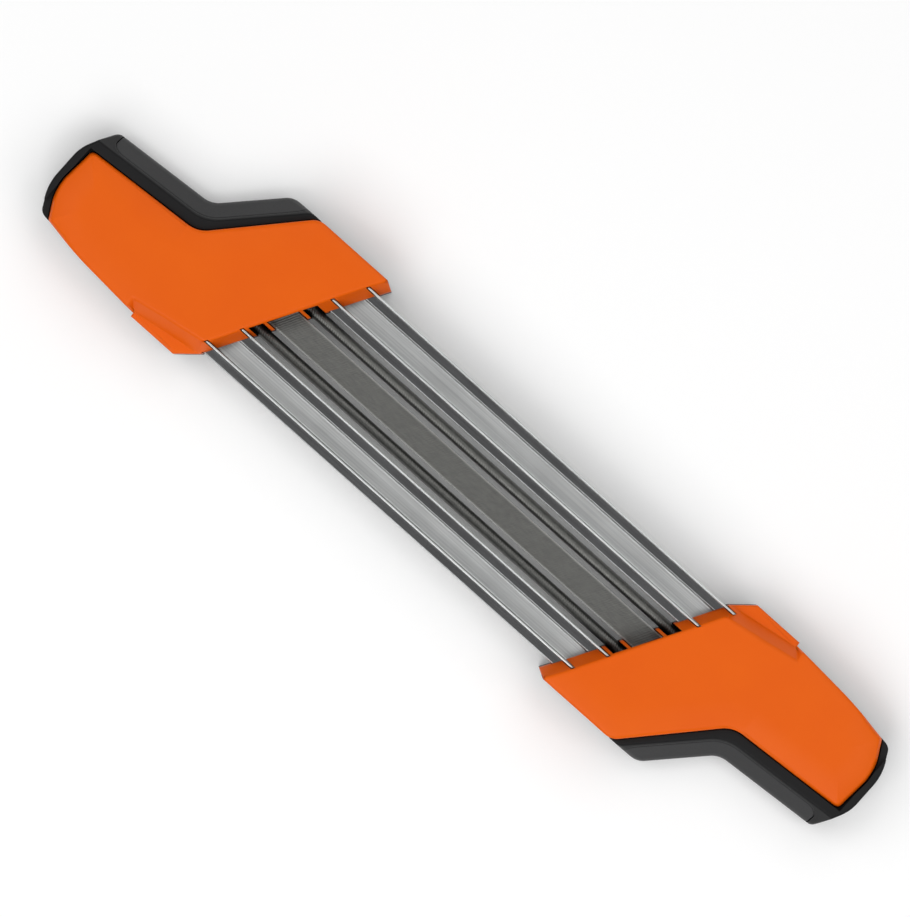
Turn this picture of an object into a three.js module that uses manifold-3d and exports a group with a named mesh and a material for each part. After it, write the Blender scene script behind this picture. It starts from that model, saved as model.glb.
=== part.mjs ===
// Saw chain filing guide: two handles, each a black moulded base with a hinged orange cover,
// two aluminium rails that run on the chain, two round files and one flat file.
// Millimetres, +Z up, +X along the files. The origin is on the plane the bases stand on,
// at the tool's centre. A half turn about Z swaps the two handles, but the rails' fins and
// the slots over them stay on the ribs' edges towards +Y.

import * as THREE from 'three';
import { mergeVertices } from 'three/addons/utils/BufferGeometryUtils.js';
import Module from 'manifold-3d';

const wasm = await Module();
wasm.setup();

// Whole tool
const FILE_LENGTH = 200;        // body of each file, without its tang
const FILE_SEAT = 19.7;         // how much of it lies inside each handle, on the centre line
const HANDLE_LENGTH = 94.9;     // inner face, on the centre line, to the outer end
const FILING_ANGLE = 30;        // degrees the inner faces lean from square
const FILE_SPACE = 1.7;         // between a round file and the pieces beside it
const SIDE_MARGIN = 7;          // a rail's outer edge to the handle's straight side
const GAP = 0.3;                // kept between neighbouring pieces
const OVERRUN = 30;             // how far a cut runs past what it cuts

// Base: the black lower shell
const WALL = 2.4;
const FLOOR = 2.4;
const BASE_HEIGHT = 12;         // the face that the cover closes on
const LEDGE_HEIGHT = 19;        // top of the wall beside and behind the cover
const LEDGE_LEAN = 6.6;         // how far the belly leans in below the ledge
const BELLY_HEIGHT = 8;         // where the belly is widest
const FOOT_ROUND = 3;           // rounding along the underside
const LEDGE_ROUND = 1;          // rounding along the top of the ledge

// Cover: the orange lid
const COVER_WALL = 2;
const COVER_TOP = 26;           // height at the inner end
const SIDE_DROP = 1.6;          // from the crown to the side walls
const HINGE_DROP = 5;           // from the crown to the end wall over the hinge
const HINGE_DROP_RUN = 14;      // how far before the hinge the drop starts to grow
const CROWN_REACH = 11.5;       // how far the crown's rounding goes in from the edge
const FACE_RUN = 3.8;           // width of the sloped inner face, seen from above
const FACE_RISE = 7.4;          // height of the sloped inner face

// Blunt corners at the two ends of the inner face
const CORNER_CUT = 2.3;         // from the corner to the face that cuts it off
const TIP_TURN = 60;            // degrees, the way into the handle from the belly side's corner
const HEEL_TURN = -49;          // degrees, and from the straight side's corner

// Thumb lip at the inner end of the cover's straight side
const LIP_LENGTH = 43.2;        // from where the inner face meets the centre line
const LIP_REACH = 0.4;          // how far it stands out past the straight side
const LIP_HEIGHT = 5.3;
const LIP_NEAR_WIDTH = 8;       // in from the straight side, where the length starts
const LIP_FAR_WIDTH = 1.5;      // and where it ends
const LIP_LEAN = 5.4;           // how far the wall beside it leans in, up to the cover's top

// Hinge at the outer end
const PIN_RADIUS = 1;
const BARREL_RADIUS = 4.6;
const HINGE_MARGIN = 3;         // the cover's side, at the belly, to the nearer cheek
const HINGE_SPAN = 15;          // across both cheeks
const HINGE_GAP = 0.4;          // running gap round the barrel and beside the cover
const RIM_WALL = 2.4;           // base wall behind the hinge
const RIM_DROP = 3.4;           // how far the ledge is cut down there for the cover to swing
const CHEEK_WIDTH = 3;
const CHEEK_RADIUS = 2.3;
const HINGE_SKIN = 0.6;         // from the pin's level up to the cover skin over a cheek

// Soft grip on the belly side
const GRIP_THICKNESS = 2.2;
const GRIP_FOOT = 2.6;          // height of its lower edge
const GRIP_TOP = 17.4;          // height of its upper edge
const GRIP_FROM_SHARE = 0.215;  // of the handle's length
const GRIP_TO_SHARE = 0.917;
const GRIP_CORNER = 5;

// Rails
const RAIL_WIDTH = 15.2;
const RAIL_HEIGHT = 7.5;
const RIB_WIDTH = 4;
const FIN_WIDTH = 0.7;          // thin upright fin on the +Y edge of each rib
const FIN_HEIGHT = 6.1;         // above the rib
const WEB_THICKNESS = 3;
const RAIL_LEVEL = 10;          // height of the faces that run on the chain
const RAIL_LONG_SEAT = 37.7;    // inside the handle, from where its inner face meets the centre line
const RAIL_SHORT_SEAT = 13.7;
const RAIL_CHAMFER = 0.5;

// Files
const ROUND_RADIUS = 2;
const ROUND_BELOW = 1.2;        // its axis below the rails' running faces
const ROUND_TANG = 35;
const TANG_ROOT_RADIUS = 1.3;
const TANG_TIP_RADIUS = 0.8;
const FLAT_WIDTH = 9.6;
const FLAT_THICKNESS = 3.2;
const FLAT_BELOW = 0.65;        // depth gauge setting: its underside below the running faces
const FLAT_TANG = 21;
const FLAT_TANG_ROOT = 6.4;
const FLAT_TANG_TIP = 4;
const TANG_SLOPE = 3;           // length of the shoulder between body and tang

// File bed, stop and clamp pad
const BED_RISE = 0.2;           // above the rails' running faces
const STOP_THICKNESS = 2.8;
const PAD_LENGTH = 6;
const PAD_THICKNESS = 3.15;     // over the flat file

// Rail screws
const SCREW_RADIUS = 1.9;
const SCREW_LENGTH = 8.6;
const HEAD_RADIUS = 3.1;
const HEAD_HEIGHT = 2.2;
const RECESS_WIDTH = 0.9;
const RECESS_DEPTH = 1.1;
const SCREW_FROM_END = 6;
const SCREW_SPACING = 10;

// Rounded corners and turned pieces
const LEAST_ROUND = 0.4;        // radius that a moved-in corner keeps
const ARC_SHARE = 0.48;         // of an edge, at most, that one corner's arc takes up
const CORNER_STEPS = 6;
const TURN_STEPS = 24;

// Worked out from the above
const fileEndX = FILE_LENGTH / 2;
const footX = fileEndX - FILE_SEAT;
const endX = footX + HANDLE_LENGTH;
const angle = THREE.MathUtils.degToRad(FILING_ANGLE);
const pinX = endX - RIM_WALL - HINGE_GAP - BARREL_RADIUS;
const pinZ = BASE_HEIGHT + HINGE_GAP + BARREL_RADIUS;
const coverEndX = pinX + BARREL_RADIUS;
const coverFoot = BASE_HEIGHT + GAP;
const railTop = RAIL_LEVEL + RAIL_HEIGHT;
const finTop = railTop + FIN_HEIGHT;
const faceFoot = railTop + GAP;
const roundZ = RAIL_LEVEL - ROUND_BELOW;
const flatZ = RAIL_LEVEL - FLAT_BELOW;
const webTop = RAIL_LEVEL + WEB_THICKNESS;
const roundY = FLAT_WIDTH / 2 + FILE_SPACE + ROUND_RADIUS;
const railInner = roundY + ROUND_RADIUS + FILE_SPACE;
const railCentre = railInner + RAIL_WIDTH / 2;
const railOuter = railInner + RAIL_WIDTH;
const railLongEnd = footX + RAIL_LONG_SEAT;
const railShortEnd = footX + RAIL_SHORT_SEAT;
const halfWidth = railOuter + SIDE_MARGIN;
const innerX = footX - halfWidth * Math.tan(angle);
const lipEndX = footX + LIP_LENGTH;
const lipTop = coverFoot + LIP_HEIGHT;
const bedTop = RAIL_LEVEL + BED_RISE;
const padTop = flatZ + FLAT_THICKNESS + GAP + PAD_THICKNESS;
const padSide = roundY + 0.95 * ROUND_RADIUS;

// Corners of the handle at +X and of its cover, seen from above and counter-clockwise:
// shares of the length from the inner face, on the centre line, to the outer end, shares of
// the half width, and the corner's radius as a share of the half width. The inner end runs
// on past the sloped face, which is cut afterwards.
const handleShares = [
  [-0.44, -0.971, 0],
  [0.306, -0.971, 0.2],
  [0.5145, -0.369, 0.25],
  [0.9355, -0.282, 0.073],
  [1, 0.09, 0.45],
  [1, 0.571, 0.8],
  [0.951, 0.829, 0.1],
  [0.751, 0.918, 4],
  [-0.44, 1.133, 0],
];
const coverShares = [
  [-0.4535, -0.971, 0],
  [0.181, -0.971, 0.18],
  [0.492, -0.064, 0.3],
  [0.989, 0.027, 0.064],
  [1.0035, 0.54, 0.87],
  [0.939, 0.843, 0.045],
  [0.7735, 0.918, 4],
  [-0.4535, 1.133, 0],
];

// Which of the handle's edges lean inwards above the belly
const bellyEdges = [false, true, true, false, false, false, false, false, false];

// Rounding from the bottom up: shares of its radius in height, in from the sides, and in
// from the belly
const footShares = [
  [0, 0.75, 1.2],
  [0.3, 0.3, 0.65],
  [1, 0, 0.25],
];

// How the crown falls from the inside out: shares of its reach, and of its drop
const crownShares = [
  [0, 1],
  [0.04, 0.66],
  [0.12, 0.42],
  [0.27, 0.26],
  [0.6, 0.08],
  [1, 0],
];

/** A corner list in millimetres from a table of shares. */
function corners(shares, outerX) {
  return shares.map(([x, y, r]) => ({
    x: footX + x * (outerX - footX),
    y: y * halfWidth,
    r: r * halfWidth,
  }));
}

/** Each edge moved in by its own distance, and its corners rounded with arcs. */
function ring(list, insets, height) {
  const count = list.length;
  const edges = list.map((from, i) => {
    const to = list[(i + 1) % count];
    const along = new THREE.Vector2(to.x - from.x, to.y - from.y).normalize();
    const inward = new THREE.Vector2(-along.y, along.x);
    const start = new THREE.Vector2(from.x, from.y).addScaledVector(inward, insets[i]);
    return { along, start };
  });
  const tips = edges.map((after, i) => {
    const before = edges[(i + count - 1) % count];
    const apart = after.start.clone().sub(before.start);
    const reach = apart.cross(after.along) / before.along.cross(after.along);
    return before.start.clone().addScaledVector(before.along, reach);
  });
  const points = [];
  list.forEach((corner, i) => {
    const tip = tips[i];
    if (corner.r === 0) {
      points.push([tip.x, tip.y, height(tip.x, tip.y)]);
      return;
    }
    const last = (i + count - 1) % count;
    const before = edges[last];
    const turn = before.along.cross(edges[i].along);
    const side = Math.sign(turn);
    const halfTurn = Math.asin(turn) / 2;
    const inset = (insets[last] + insets[i]) / 2;
    const room = Math.min(tip.distanceTo(tips[last]), tip.distanceTo(tips[(i + 1) % count]));
    const widest = ARC_SHARE * room / Math.tan(Math.abs(halfTurn));
    const radius = Math.min(Math.max(corner.r - side * inset, LEAST_ROUND), widest);
    const back = radius * Math.tan(Math.abs(halfTurn));
    const centre = tip.clone().addScaledVector(before.along, -back);
    centre.add(new THREE.Vector2(-before.along.y, before.along.x).multiplyScalar(side * radius));
    for (let k = 0; k <= CORNER_STEPS; k += 1) {
      const swing = 2 * halfTurn * k / CORNER_STEPS;
      const arm = new THREE.Vector2(before.along.y, -before.along.x).multiplyScalar(side * radius);
      arm.rotateAround(new THREE.Vector2(0, 0), swing);
      points.push([centre.x + arm.x, centre.y + arm.y, height(centre.x + arm.x, centre.y + arm.y)]);
    }
  });
  return points;
}

/** A closed solid through rings of equal point count, lowest first. */
function loft(rings) {
  const count = rings[0].length;
  const indices = [];
  for (let level = 0; level < rings.length - 1; level += 1) {
    for (let i = 0; i < count; i += 1) {
      const a = level * count + i;
      const b = level * count + (i + 1) % count;
      indices.push(a, b, b + count, a, b + count, a + count);
    }
  }
  const last = (rings.length - 1) * count;
  const flat = (points) => points.map(([x, y]) => new THREE.Vector2(x, y));
  for (const [a, b, c] of THREE.ShapeUtils.triangulateShape(flat(rings[0]), [])) {
    indices.push(a, c, b);
  }
  for (const [a, b, c] of THREE.ShapeUtils.triangulateShape(flat(rings.at(-1)), [])) {
    indices.push(last + a, last + b, last + c);
  }
  const geometry = new THREE.BufferGeometry();
  geometry.setAttribute('position', new THREE.Float32BufferAttribute(rings.flat(2), 3));
  geometry.setIndex(indices);
  return geometry;
}

/** A manifold solid from a closed geometry. */
function solid(geometry) {
  const bare = geometry.clone();
  bare.deleteAttribute('normal');
  bare.deleteAttribute('uv');
  const merged = mergeVertices(bare);
  return new wasm.Manifold(new wasm.Mesh({
    numProp: 3,
    vertProperties: new Float32Array(merged.attributes.position.array),
    triVerts: new Uint32Array(merged.index.array),
  }));
}

/** The geometry of a manifold solid. */
function surface(body) {
  const mesh = body.getMesh();
  const geometry = new THREE.BufferGeometry();
  geometry.setAttribute('position', new THREE.BufferAttribute(mesh.vertProperties, 3));
  geometry.setIndex(new THREE.BufferAttribute(mesh.triVerts, 1));
  geometry.computeVertexNormals();
  return geometry;
}

/** A block between two corners. */
function block(x0, x1, y0, y1, z0, z1) {
  const geometry = new THREE.BoxGeometry(x1 - x0, y1 - y0, z1 - z0);
  return solid(geometry.translate((x0 + x1) / 2, (y0 + y1) / 2, (z0 + z1) / 2));
}

/** A round bar along Y at the hinge axis, from y0 to y1. */
function hingeBar(radius, y0, y1) {
  const geometry = new THREE.CylinderGeometry(radius, radius, y1 - y0, TURN_STEPS);
  return solid(geometry.translate(pinX, (y0 + y1) / 2, pinZ));
}

/** A round bar along X. */
function longBar(radius, x0, x1, y, z) {
  const geometry = new THREE.CylinderGeometry(radius, radius, x1 - x0, TURN_STEPS);
  return solid(geometry.rotateZ(Math.PI / 2).translate((x0 + x1) / 2, y, z));
}

/** A round bar along Z. */
function uprightBar(radius, x, y, z0, z1) {
  const geometry = new THREE.CylinderGeometry(radius, radius, z1 - z0, TURN_STEPS);
  return solid(geometry.rotateX(Math.PI / 2).translate(x, y, (z0 + z1) / 2));
}

/** What lies outside an upright plane at (x, y), moved by depth along its way in. */
function outside(x, y, turn, depth) {
  const run = 2 * endX;
  const geometry = new THREE.BoxGeometry(run, run, run);
  geometry.translate(depth - run / 2, 0, 0);
  geometry.rotateZ(THREE.MathUtils.degToRad(turn));
  return solid(geometry.translate(x, y, 0));
}

/** What lies in front of a handle's inner face, moved back by depth. */
function beforeFace(depth, sloped) {
  const lean = FACE_RUN / FACE_RISE;
  const high = COVER_TOP + OVERRUN;
  const outline = new THREE.Shape();
  outline.moveTo(-endX, -OVERRUN);
  outline.lineTo(depth, -OVERRUN);
  outline.lineTo(depth, faceFoot);
  outline.lineTo(depth + (sloped ? lean * (high - faceFoot) : 0), high);
  outline.lineTo(-endX, high);
  const run = 2 * endX;
  const geometry = new THREE.ExtrudeGeometry(outline, { depth: run, bevelEnabled: false });
  geometry.rotateX(Math.PI / 2);
  geometry.translate(0, run / 2, 0);
  geometry.rotateZ(-angle);
  return solid(geometry.translate(footX, 0, 0));
}

/** What lies in front of the inner face and beyond its blunt corners, moved back by depth. */
function inFront(depth, sloped) {
  const tipY = handleShares[0][1] * halfWidth;
  const tip = outside(footX + tipY * Math.tan(angle), tipY, TIP_TURN, depth + CORNER_CUT);
  const heel = outside(2 * footX - innerX, halfWidth, HEEL_TURN, depth + CORNER_CUT);
  return beforeFace(depth, sloped).add(tip).add(heel);
}

/** The outside of a base, moved in by extra all round. */
function baseBody(extra) {
  const list = corners(handleShares, endX);
  const levels = footShares.map((shares) => shares.map((share) => share * FOOT_ROUND));
  const lean = (z) => LEDGE_LEAN * (z - BELLY_HEIGHT) / (LEDGE_HEIGHT - BELLY_HEIGHT);
  levels.push([BELLY_HEIGHT, 0, 0]);
  levels.push([BASE_HEIGHT, 0, lean(BASE_HEIGHT)]);
  levels.push([LEDGE_HEIGHT - LEDGE_ROUND, 0, lean(LEDGE_HEIGHT - LEDGE_ROUND)]);
  levels.push([LEDGE_HEIGHT - LEDGE_ROUND / 4, LEDGE_ROUND / 4, LEDGE_LEAN]);
  levels.push([LEDGE_HEIGHT, LEDGE_ROUND, LEDGE_LEAN + LEDGE_ROUND / 2]);
  return solid(loft(levels.map(([z, side, belly]) => {
    const insets = bellyEdges.map((leaning) => extra + (leaning ? belly : side));
    return ring(list, insets, () => z);
  })));
}

/** A straight-sided body over the cover's outline, moved in by inset. */
function coverPrism(inset, z0, z1) {
  const list = corners(coverShares, coverEndX);
  const insets = list.map(() => inset);
  return solid(loft([ring(list, insets, () => z0), ring(list, insets, () => z1)]));
}

/** The height of the crown at x: it falls evenly from the inner end to the hinge. */
function crest(x) {
  return THREE.MathUtils.mapLinear(x, innerX, pinX, COVER_TOP, pinZ + BARREL_RADIUS);
}

/** How far the crown falls to its edge at x: further at the hinge. */
function crownDrop(x) {
  const share = THREE.MathUtils.smoothstep(x, pinX - HINGE_DROP_RUN, pinX);
  return THREE.MathUtils.lerp(SIDE_DROP, HINGE_DROP, share);
}

/** A crowned body over the cover's outline, moved in and down by skin. */
function crownBody(skin, foot) {
  const list = corners(coverShares, coverEndX);
  const even = (inset) => list.map(() => inset);
  const rings = [ring(list, even(skin), () => foot)];
  for (const [reach, drop] of crownShares) {
    const height = (x) => crest(x) - skin - drop * crownDrop(x);
    rings.push(ring(list, even(skin + reach * CROWN_REACH), height));
  }
  return solid(loft(rings));
}

// The hinge's places along Y: the cover's sides, and each cheek's two faces
const coverList = corners(coverShares, coverEndX);
const [coverLow, coverHigh] = [coverList[3].y, coverList[5].y];
const hingeLow = coverLow + HINGE_MARGIN;
const hingeHigh = hingeLow + HINGE_SPAN;
const cheekLow = [hingeLow, hingeLow + CHEEK_WIDTH];
const cheekHigh = [hingeHigh - CHEEK_WIDTH, hingeHigh];

/** An upright rounded plate on the grip's outline, grown by grow. */
function gripBelt(grow) {
  const x0 = footX + GRIP_FROM_SHARE * HANDLE_LENGTH - grow;
  const x1 = footX + GRIP_TO_SHARE * HANDLE_LENGTH + grow;
  const z0 = GRIP_FOOT - grow;
  const z1 = GRIP_TOP + grow;
  const r = GRIP_CORNER + grow;
  const shape = new THREE.Shape();
  shape.moveTo(x0 + r, z0);
  shape.absarc(x1 - r, z0 + r, r, -Math.PI / 2, 0);
  shape.absarc(x1 - r, z1 - r, r, 0, Math.PI / 2);
  shape.absarc(x0 + r, z1 - r, r, Math.PI / 2, Math.PI);
  shape.absarc(x0 + r, z0 + r, r, Math.PI, 1.5 * Math.PI);
  const options = { depth: 2 * halfWidth, bevelEnabled: false, curveSegments: CORNER_STEPS };
  return solid(new THREE.ExtrudeGeometry(shape, options).rotateX(Math.PI / 2));
}

/** Grooves for the three files, each with gap round it, from x0 to x1. */
function fileGrooves(x0, x1, gap, top) {
  const half = ROUND_RADIUS + gap;
  let grooves = block(x0, x1, -FLAT_WIDTH / 2 - gap, FLAT_WIDTH / 2 + gap, flatZ - gap, top);
  for (const y of [-roundY, roundY]) {
    grooves = grooves.add(longBar(half, x0, x1, y, roundZ));
    grooves = grooves.add(block(x0, x1, y - half, y + half, roundZ, top));
  }
  return grooves;
}

/** Room for the ends of both rails, up to top. */
function railRoom(top) {
  const near = block(0, railLongEnd, railInner - GAP, railOuter + GAP, RAIL_LEVEL - GAP, top);
  const far = block(0, railShortEnd, -railOuter - GAP, GAP - railInner, RAIL_LEVEL - GAP, top);
  return near.add(far);
}

/** Both faces along Y of the two fins of a rail whose edge towards -Y is at y. */
function finSides(y) {
  const ends = [y + RIB_WIDTH, y + RAIL_WIDTH];
  return ends.map((end) => [end - FIN_WIDTH, end]);
}

/** The same places after a half turn about Z. */
function turned(sides) {
  return sides.map(([y0, y1]) => [-y1, -y0]);
}

/** Places of a handle's rail screws: two in each rail. */
function screwPlaces() {
  const ends = [[railLongEnd, railCentre], [railShortEnd, -railCentre]];
  return ends.flatMap(([x, y]) => [
    [x - SCREW_FROM_END, y],
    [x - SCREW_FROM_END - SCREW_SPACING, y],
  ]);
}

/** The black lower shell of the handle at +X. */
function makeBase() {
  let base = baseBody(0);
  const inset = baseBody(GRIP_THICKNESS);
  base = base.subtract(gripBelt(0).subtract(inset));
  base = base.subtract(coverPrism(-HINGE_GAP, BASE_HEIGHT, COVER_TOP));
  const groove = hingeBar(BARREL_RADIUS + HINGE_GAP, coverLow - HINGE_GAP, coverHigh + HINGE_GAP);
  const rimTop = LEDGE_HEIGHT - RIM_DROP;
  base = base.subtract(groove.subtract(block(0, 2 * endX, -halfWidth, halfWidth, 0, rimTop)));

  const blockX = pinX - BARREL_RADIUS - WALL;
  const tub = coverPrism(WALL, FLOOR, COVER_TOP)
    .subtract(block(blockX, 2 * endX, -halfWidth, halfWidth, 0, COVER_TOP))
    .subtract(inFront(WALL, false));
  base = base.subtract(tub);

  const bedDrop = FLOOR / 2;
  const stopX = fileEndX + GAP;
  base = base.add(block(0, stopX, -railInner, railInner, bedDrop, bedTop));
  base = base.add(block(stopX, stopX + STOP_THICKNESS, -railInner, railInner, bedDrop, BASE_HEIGHT));
  base = base.add(block(0, railLongEnd, railInner, railOuter, bedDrop, RAIL_LEVEL - GAP));
  base = base.add(block(0, railShortEnd, -railOuter, -railInner, bedDrop, RAIL_LEVEL - GAP));
  base = base.subtract(fileGrooves(0, stopX, GAP, COVER_TOP));
  base = base.subtract(railRoom(COVER_TOP));

  const tangHalf = FLAT_TANG_ROOT / 2 + GAP;
  const tangEnd = fileEndX + FLAT_TANG + 2 * GAP;
  base = base.subtract(block(stopX - GAP, tangEnd, -tangHalf, tangHalf, flatZ - GAP, COVER_TOP));
  base = base.subtract(longBar(TANG_ROOT_RADIUS + 2 * GAP, stopX - GAP, tangEnd, roundY, roundZ));
  base = base.subtract(block(stopX - GAP, tangEnd, roundY - TANG_ROOT_RADIUS - 2 * GAP,
    roundY + TANG_ROOT_RADIUS + 2 * GAP, roundZ, COVER_TOP));

  for (const [y0, y1] of [cheekLow, cheekHigh]) {
    base = base.add(hingeBar(CHEEK_RADIUS, y0, y1));
    base = base.add(block(pinX - CHEEK_RADIUS, pinX, y0, y1, BASE_HEIGHT - GAP, pinZ));
  }
  base = base.subtract(hingeBar(PIN_RADIUS + GAP, hingeLow - GAP, hingeHigh + GAP));
  for (const [x, y] of screwPlaces()) {
    base = base.subtract(uprightBar(SCREW_RADIUS + GAP, x, y, FLOOR, RAIL_LEVEL));
  }
  return base.subtract(inFront(0, false));
}

/** A wedge over the thumb lip, grown towards the cover's middle by low at z0 and high at z1. */
function lipWedge(low, high, z0, z1) {
  const level = (grow, z) => [
    [footX, halfWidth - LIP_NEAR_WIDTH - grow, z],
    [lipEndX + grow, halfWidth - LIP_FAR_WIDTH - grow, z],
    [lipEndX + grow, 2 * halfWidth, z],
    [footX, 2 * halfWidth, z],
  ];
  return solid(loft([level(low, z0), level(high, z1)]));
}

/** The orange lid of the handle at +X, with a slot over each rail fin. */
function makeCover(fins) {
  let cover = crownBody(0, coverFoot);
  const hollow = crownBody(COVER_WALL, coverFoot - WALL).subtract(inFront(COVER_WALL, true));
  const lipRoom = lipWedge(COVER_WALL, COVER_WALL + LIP_LEAN, coverFoot, COVER_TOP);
  const aboveLip = crownBody(0, coverFoot).intersect(lipRoom);
  const lip = block(footX, lipEndX, 0, halfWidth + LIP_REACH, coverFoot, lipTop);
  cover = cover.subtract(hollow).add(aboveLip);
  cover = cover.add(lip.intersect(lipWedge(0, 0, coverFoot, lipTop)));
  cover = cover.subtract(lipWedge(0, LIP_LEAN, lipTop, COVER_TOP));

  const behind = block(pinX, pinX + OVERRUN, -halfWidth, halfWidth, 0, COVER_TOP);
  const round = hingeBar(BARREL_RADIUS, -halfWidth, halfWidth);
  cover = cover.subtract(behind.subtract(round));
  const barrel = hingeBar(BARREL_RADIUS, cheekLow[1] + HINGE_GAP, cheekHigh[0] - HINGE_GAP);
  cover = cover.add(barrel.intersect(crownBody(0, 0)));
  cover = cover.subtract(hingeBar(PIN_RADIUS + GAP, hingeLow, hingeHigh));

  const swing = CHEEK_RADIUS + GAP;
  for (const [y0, y1] of [cheekLow, cheekHigh]) {
    cover = cover.subtract(hingeBar(swing, y0 - HINGE_GAP, y1 + HINGE_GAP));
    cover = cover.subtract(block(pinX - swing, pinX + 2 * BARREL_RADIUS, y0 - HINGE_GAP, y1 + HINGE_GAP,
      0, pinZ + HINGE_SKIN));
  }

  const padFrom = fileEndX - GAP - PAD_LENGTH;
  const rib = block(padFrom, padFrom + PAD_LENGTH, -padSide, padSide, padTop + GAP, COVER_TOP);
  cover = cover.add(rib.intersect(crownBody(COVER_WALL / 2, 0)));
  cover = cover.subtract(railRoom(faceFoot));
  for (const [y0, y1] of fins) {
    const slot = block(0, railLongEnd, y0 - GAP, y1 + GAP, 0, COVER_TOP);
    cover = cover.subtract(slot.intersect(beforeFace(FACE_RUN, false)));
  }

  const slotTop = COVER_TOP - COVER_WALL;
  cover = cover.subtract(fileGrooves(0, padFrom - GAP, GAP, slotTop));
  return cover.subtract(inFront(0, true));
}

/** The soft pad let into the belly side of the base. */
function makeGrip() {
  const core = baseBody(GRIP_THICKNESS - GAP);
  return baseBody(0).intersect(gripBelt(-GAP)).subtract(core);
}

/** The elastic pad under the cover that holds the files down. */
function makeClampPad() {
  const flatTop = flatZ + FLAT_THICKNESS + GAP;
  const roundTop = roundZ + ROUND_RADIUS + GAP;
  const inner = roundY - ROUND_RADIUS;
  const section = new THREE.Shape();
  section.moveTo(-padSide, padTop);
  section.lineTo(-padSide, roundTop);
  section.lineTo(-inner, roundTop);
  section.lineTo(-inner, flatTop);
  section.lineTo(inner, flatTop);
  section.lineTo(inner, roundTop);
  section.lineTo(padSide, roundTop);
  section.lineTo(padSide, padTop);
  const geometry = new THREE.ExtrudeGeometry(section, { depth: PAD_LENGTH, bevelEnabled: false });
  geometry.rotateX(Math.PI / 2).rotateZ(Math.PI / 2);
  return geometry.translate(fileEndX - GAP - PAD_LENGTH, 0, 0);
}

/** The steel pin that carries the cover. */
function makePin() {
  const geometry = new THREE.CylinderGeometry(PIN_RADIUS, PIN_RADIUS, HINGE_SPAN, TURN_STEPS);
  return geometry.translate(pinX, (hingeLow + hingeHigh) / 2, pinZ);
}

/** A pan head screw with a cross recess, its head's underside at the origin. */
function makeScrew() {
  const profile = [
    [0, -SCREW_LENGTH],
    [SCREW_RADIUS / 2, -SCREW_LENGTH],
    [SCREW_RADIUS, -SCREW_LENGTH + SCREW_RADIUS],
    [SCREW_RADIUS, 0],
    [HEAD_RADIUS, 0],
    [HEAD_RADIUS, HEAD_HEIGHT / 2],
    [0.85 * HEAD_RADIUS, 0.85 * HEAD_HEIGHT],
    [HEAD_RADIUS / 2, HEAD_HEIGHT],
    [0, HEAD_HEIGHT],
  ].map(([x, y]) => new THREE.Vector2(x, y));
  const body = solid(new THREE.LatheGeometry(profile, 2 * TURN_STEPS / 3).rotateX(Math.PI / 2));
  const arm = 0.6 * HEAD_RADIUS;
  const half = RECESS_WIDTH / 2;
  const z0 = HEAD_HEIGHT - RECESS_DEPTH;
  const cross = block(-arm, arm, -half, half, z0, 2 * HEAD_HEIGHT)
    .add(block(-half, half, -arm, arm, z0, 2 * HEAD_HEIGHT));
  return surface(body.subtract(cross));
}

/** The rail on the +Y side: a flat running face, two ribs with a fin each, and a web between them. */
function makeRail(fins) {
  const half = RAIL_WIDTH / 2;
  const c = RAIL_CHAMFER;
  const section = new THREE.Shape();
  section.moveTo(-half, 0);
  section.lineTo(half, 0);
  section.lineTo(half, RAIL_HEIGHT - c);
  section.lineTo(half - c, RAIL_HEIGHT);
  section.lineTo(half - RIB_WIDTH + c, RAIL_HEIGHT);
  section.lineTo(half - RIB_WIDTH, RAIL_HEIGHT - c);
  section.lineTo(half - RIB_WIDTH, WEB_THICKNESS);
  section.lineTo(RIB_WIDTH - half, WEB_THICKNESS);
  section.lineTo(RIB_WIDTH - half, RAIL_HEIGHT - c);
  section.lineTo(RIB_WIDTH - half - c, RAIL_HEIGHT);
  section.lineTo(c - half, RAIL_HEIGHT);
  section.lineTo(-half, RAIL_HEIGHT - c);
  const length = railLongEnd + railShortEnd - 2 * GAP;
  const bar = new THREE.ExtrudeGeometry(section, { depth: length, bevelEnabled: false });
  bar.rotateX(Math.PI / 2).rotateZ(Math.PI / 2);
  bar.translate(GAP - railShortEnd, railCentre, RAIL_LEVEL);
  let rail = solid(bar);
  const holes = screwPlaces().map(([x, y]) => (y > 0 ? x : -x));
  for (const x of holes) {
    rail = rail.subtract(uprightBar(SCREW_RADIUS + GAP, x, railCentre, 0, COVER_TOP));
  }
  const front = beforeFace(FACE_RUN - GAP, false);
  const back = solid(surface(front).rotateZ(Math.PI));
  for (const [y0, y1] of fins) {
    const fin = block(-railShortEnd, railLongEnd, y0, y1, railTop - RAIL_CHAMFER, finTop);
    rail = rail.add(fin.intersect(front).intersect(back));
  }
  return surface(rail);
}

/** The round file on the +Y side, its tang towards +X. */
function makeRoundFile() {
  const round = ROUND_RADIUS / 4;
  const profile = [
    [0, -fileEndX],
    [ROUND_RADIUS - round, -fileEndX],
    [ROUND_RADIUS, round - fileEndX],
    [ROUND_RADIUS, fileEndX - TANG_SLOPE],
    [TANG_ROOT_RADIUS, fileEndX],
    [TANG_TIP_RADIUS, fileEndX + ROUND_TANG - TANG_TIP_RADIUS],
    [0, fileEndX + ROUND_TANG],
  ].map(([x, y]) => new THREE.Vector2(x, y));
  const geometry = new THREE.LatheGeometry(profile, TURN_STEPS).rotateZ(-Math.PI / 2);
  return surface(solid(geometry).translate([0, roundY, roundZ]));
}

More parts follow.
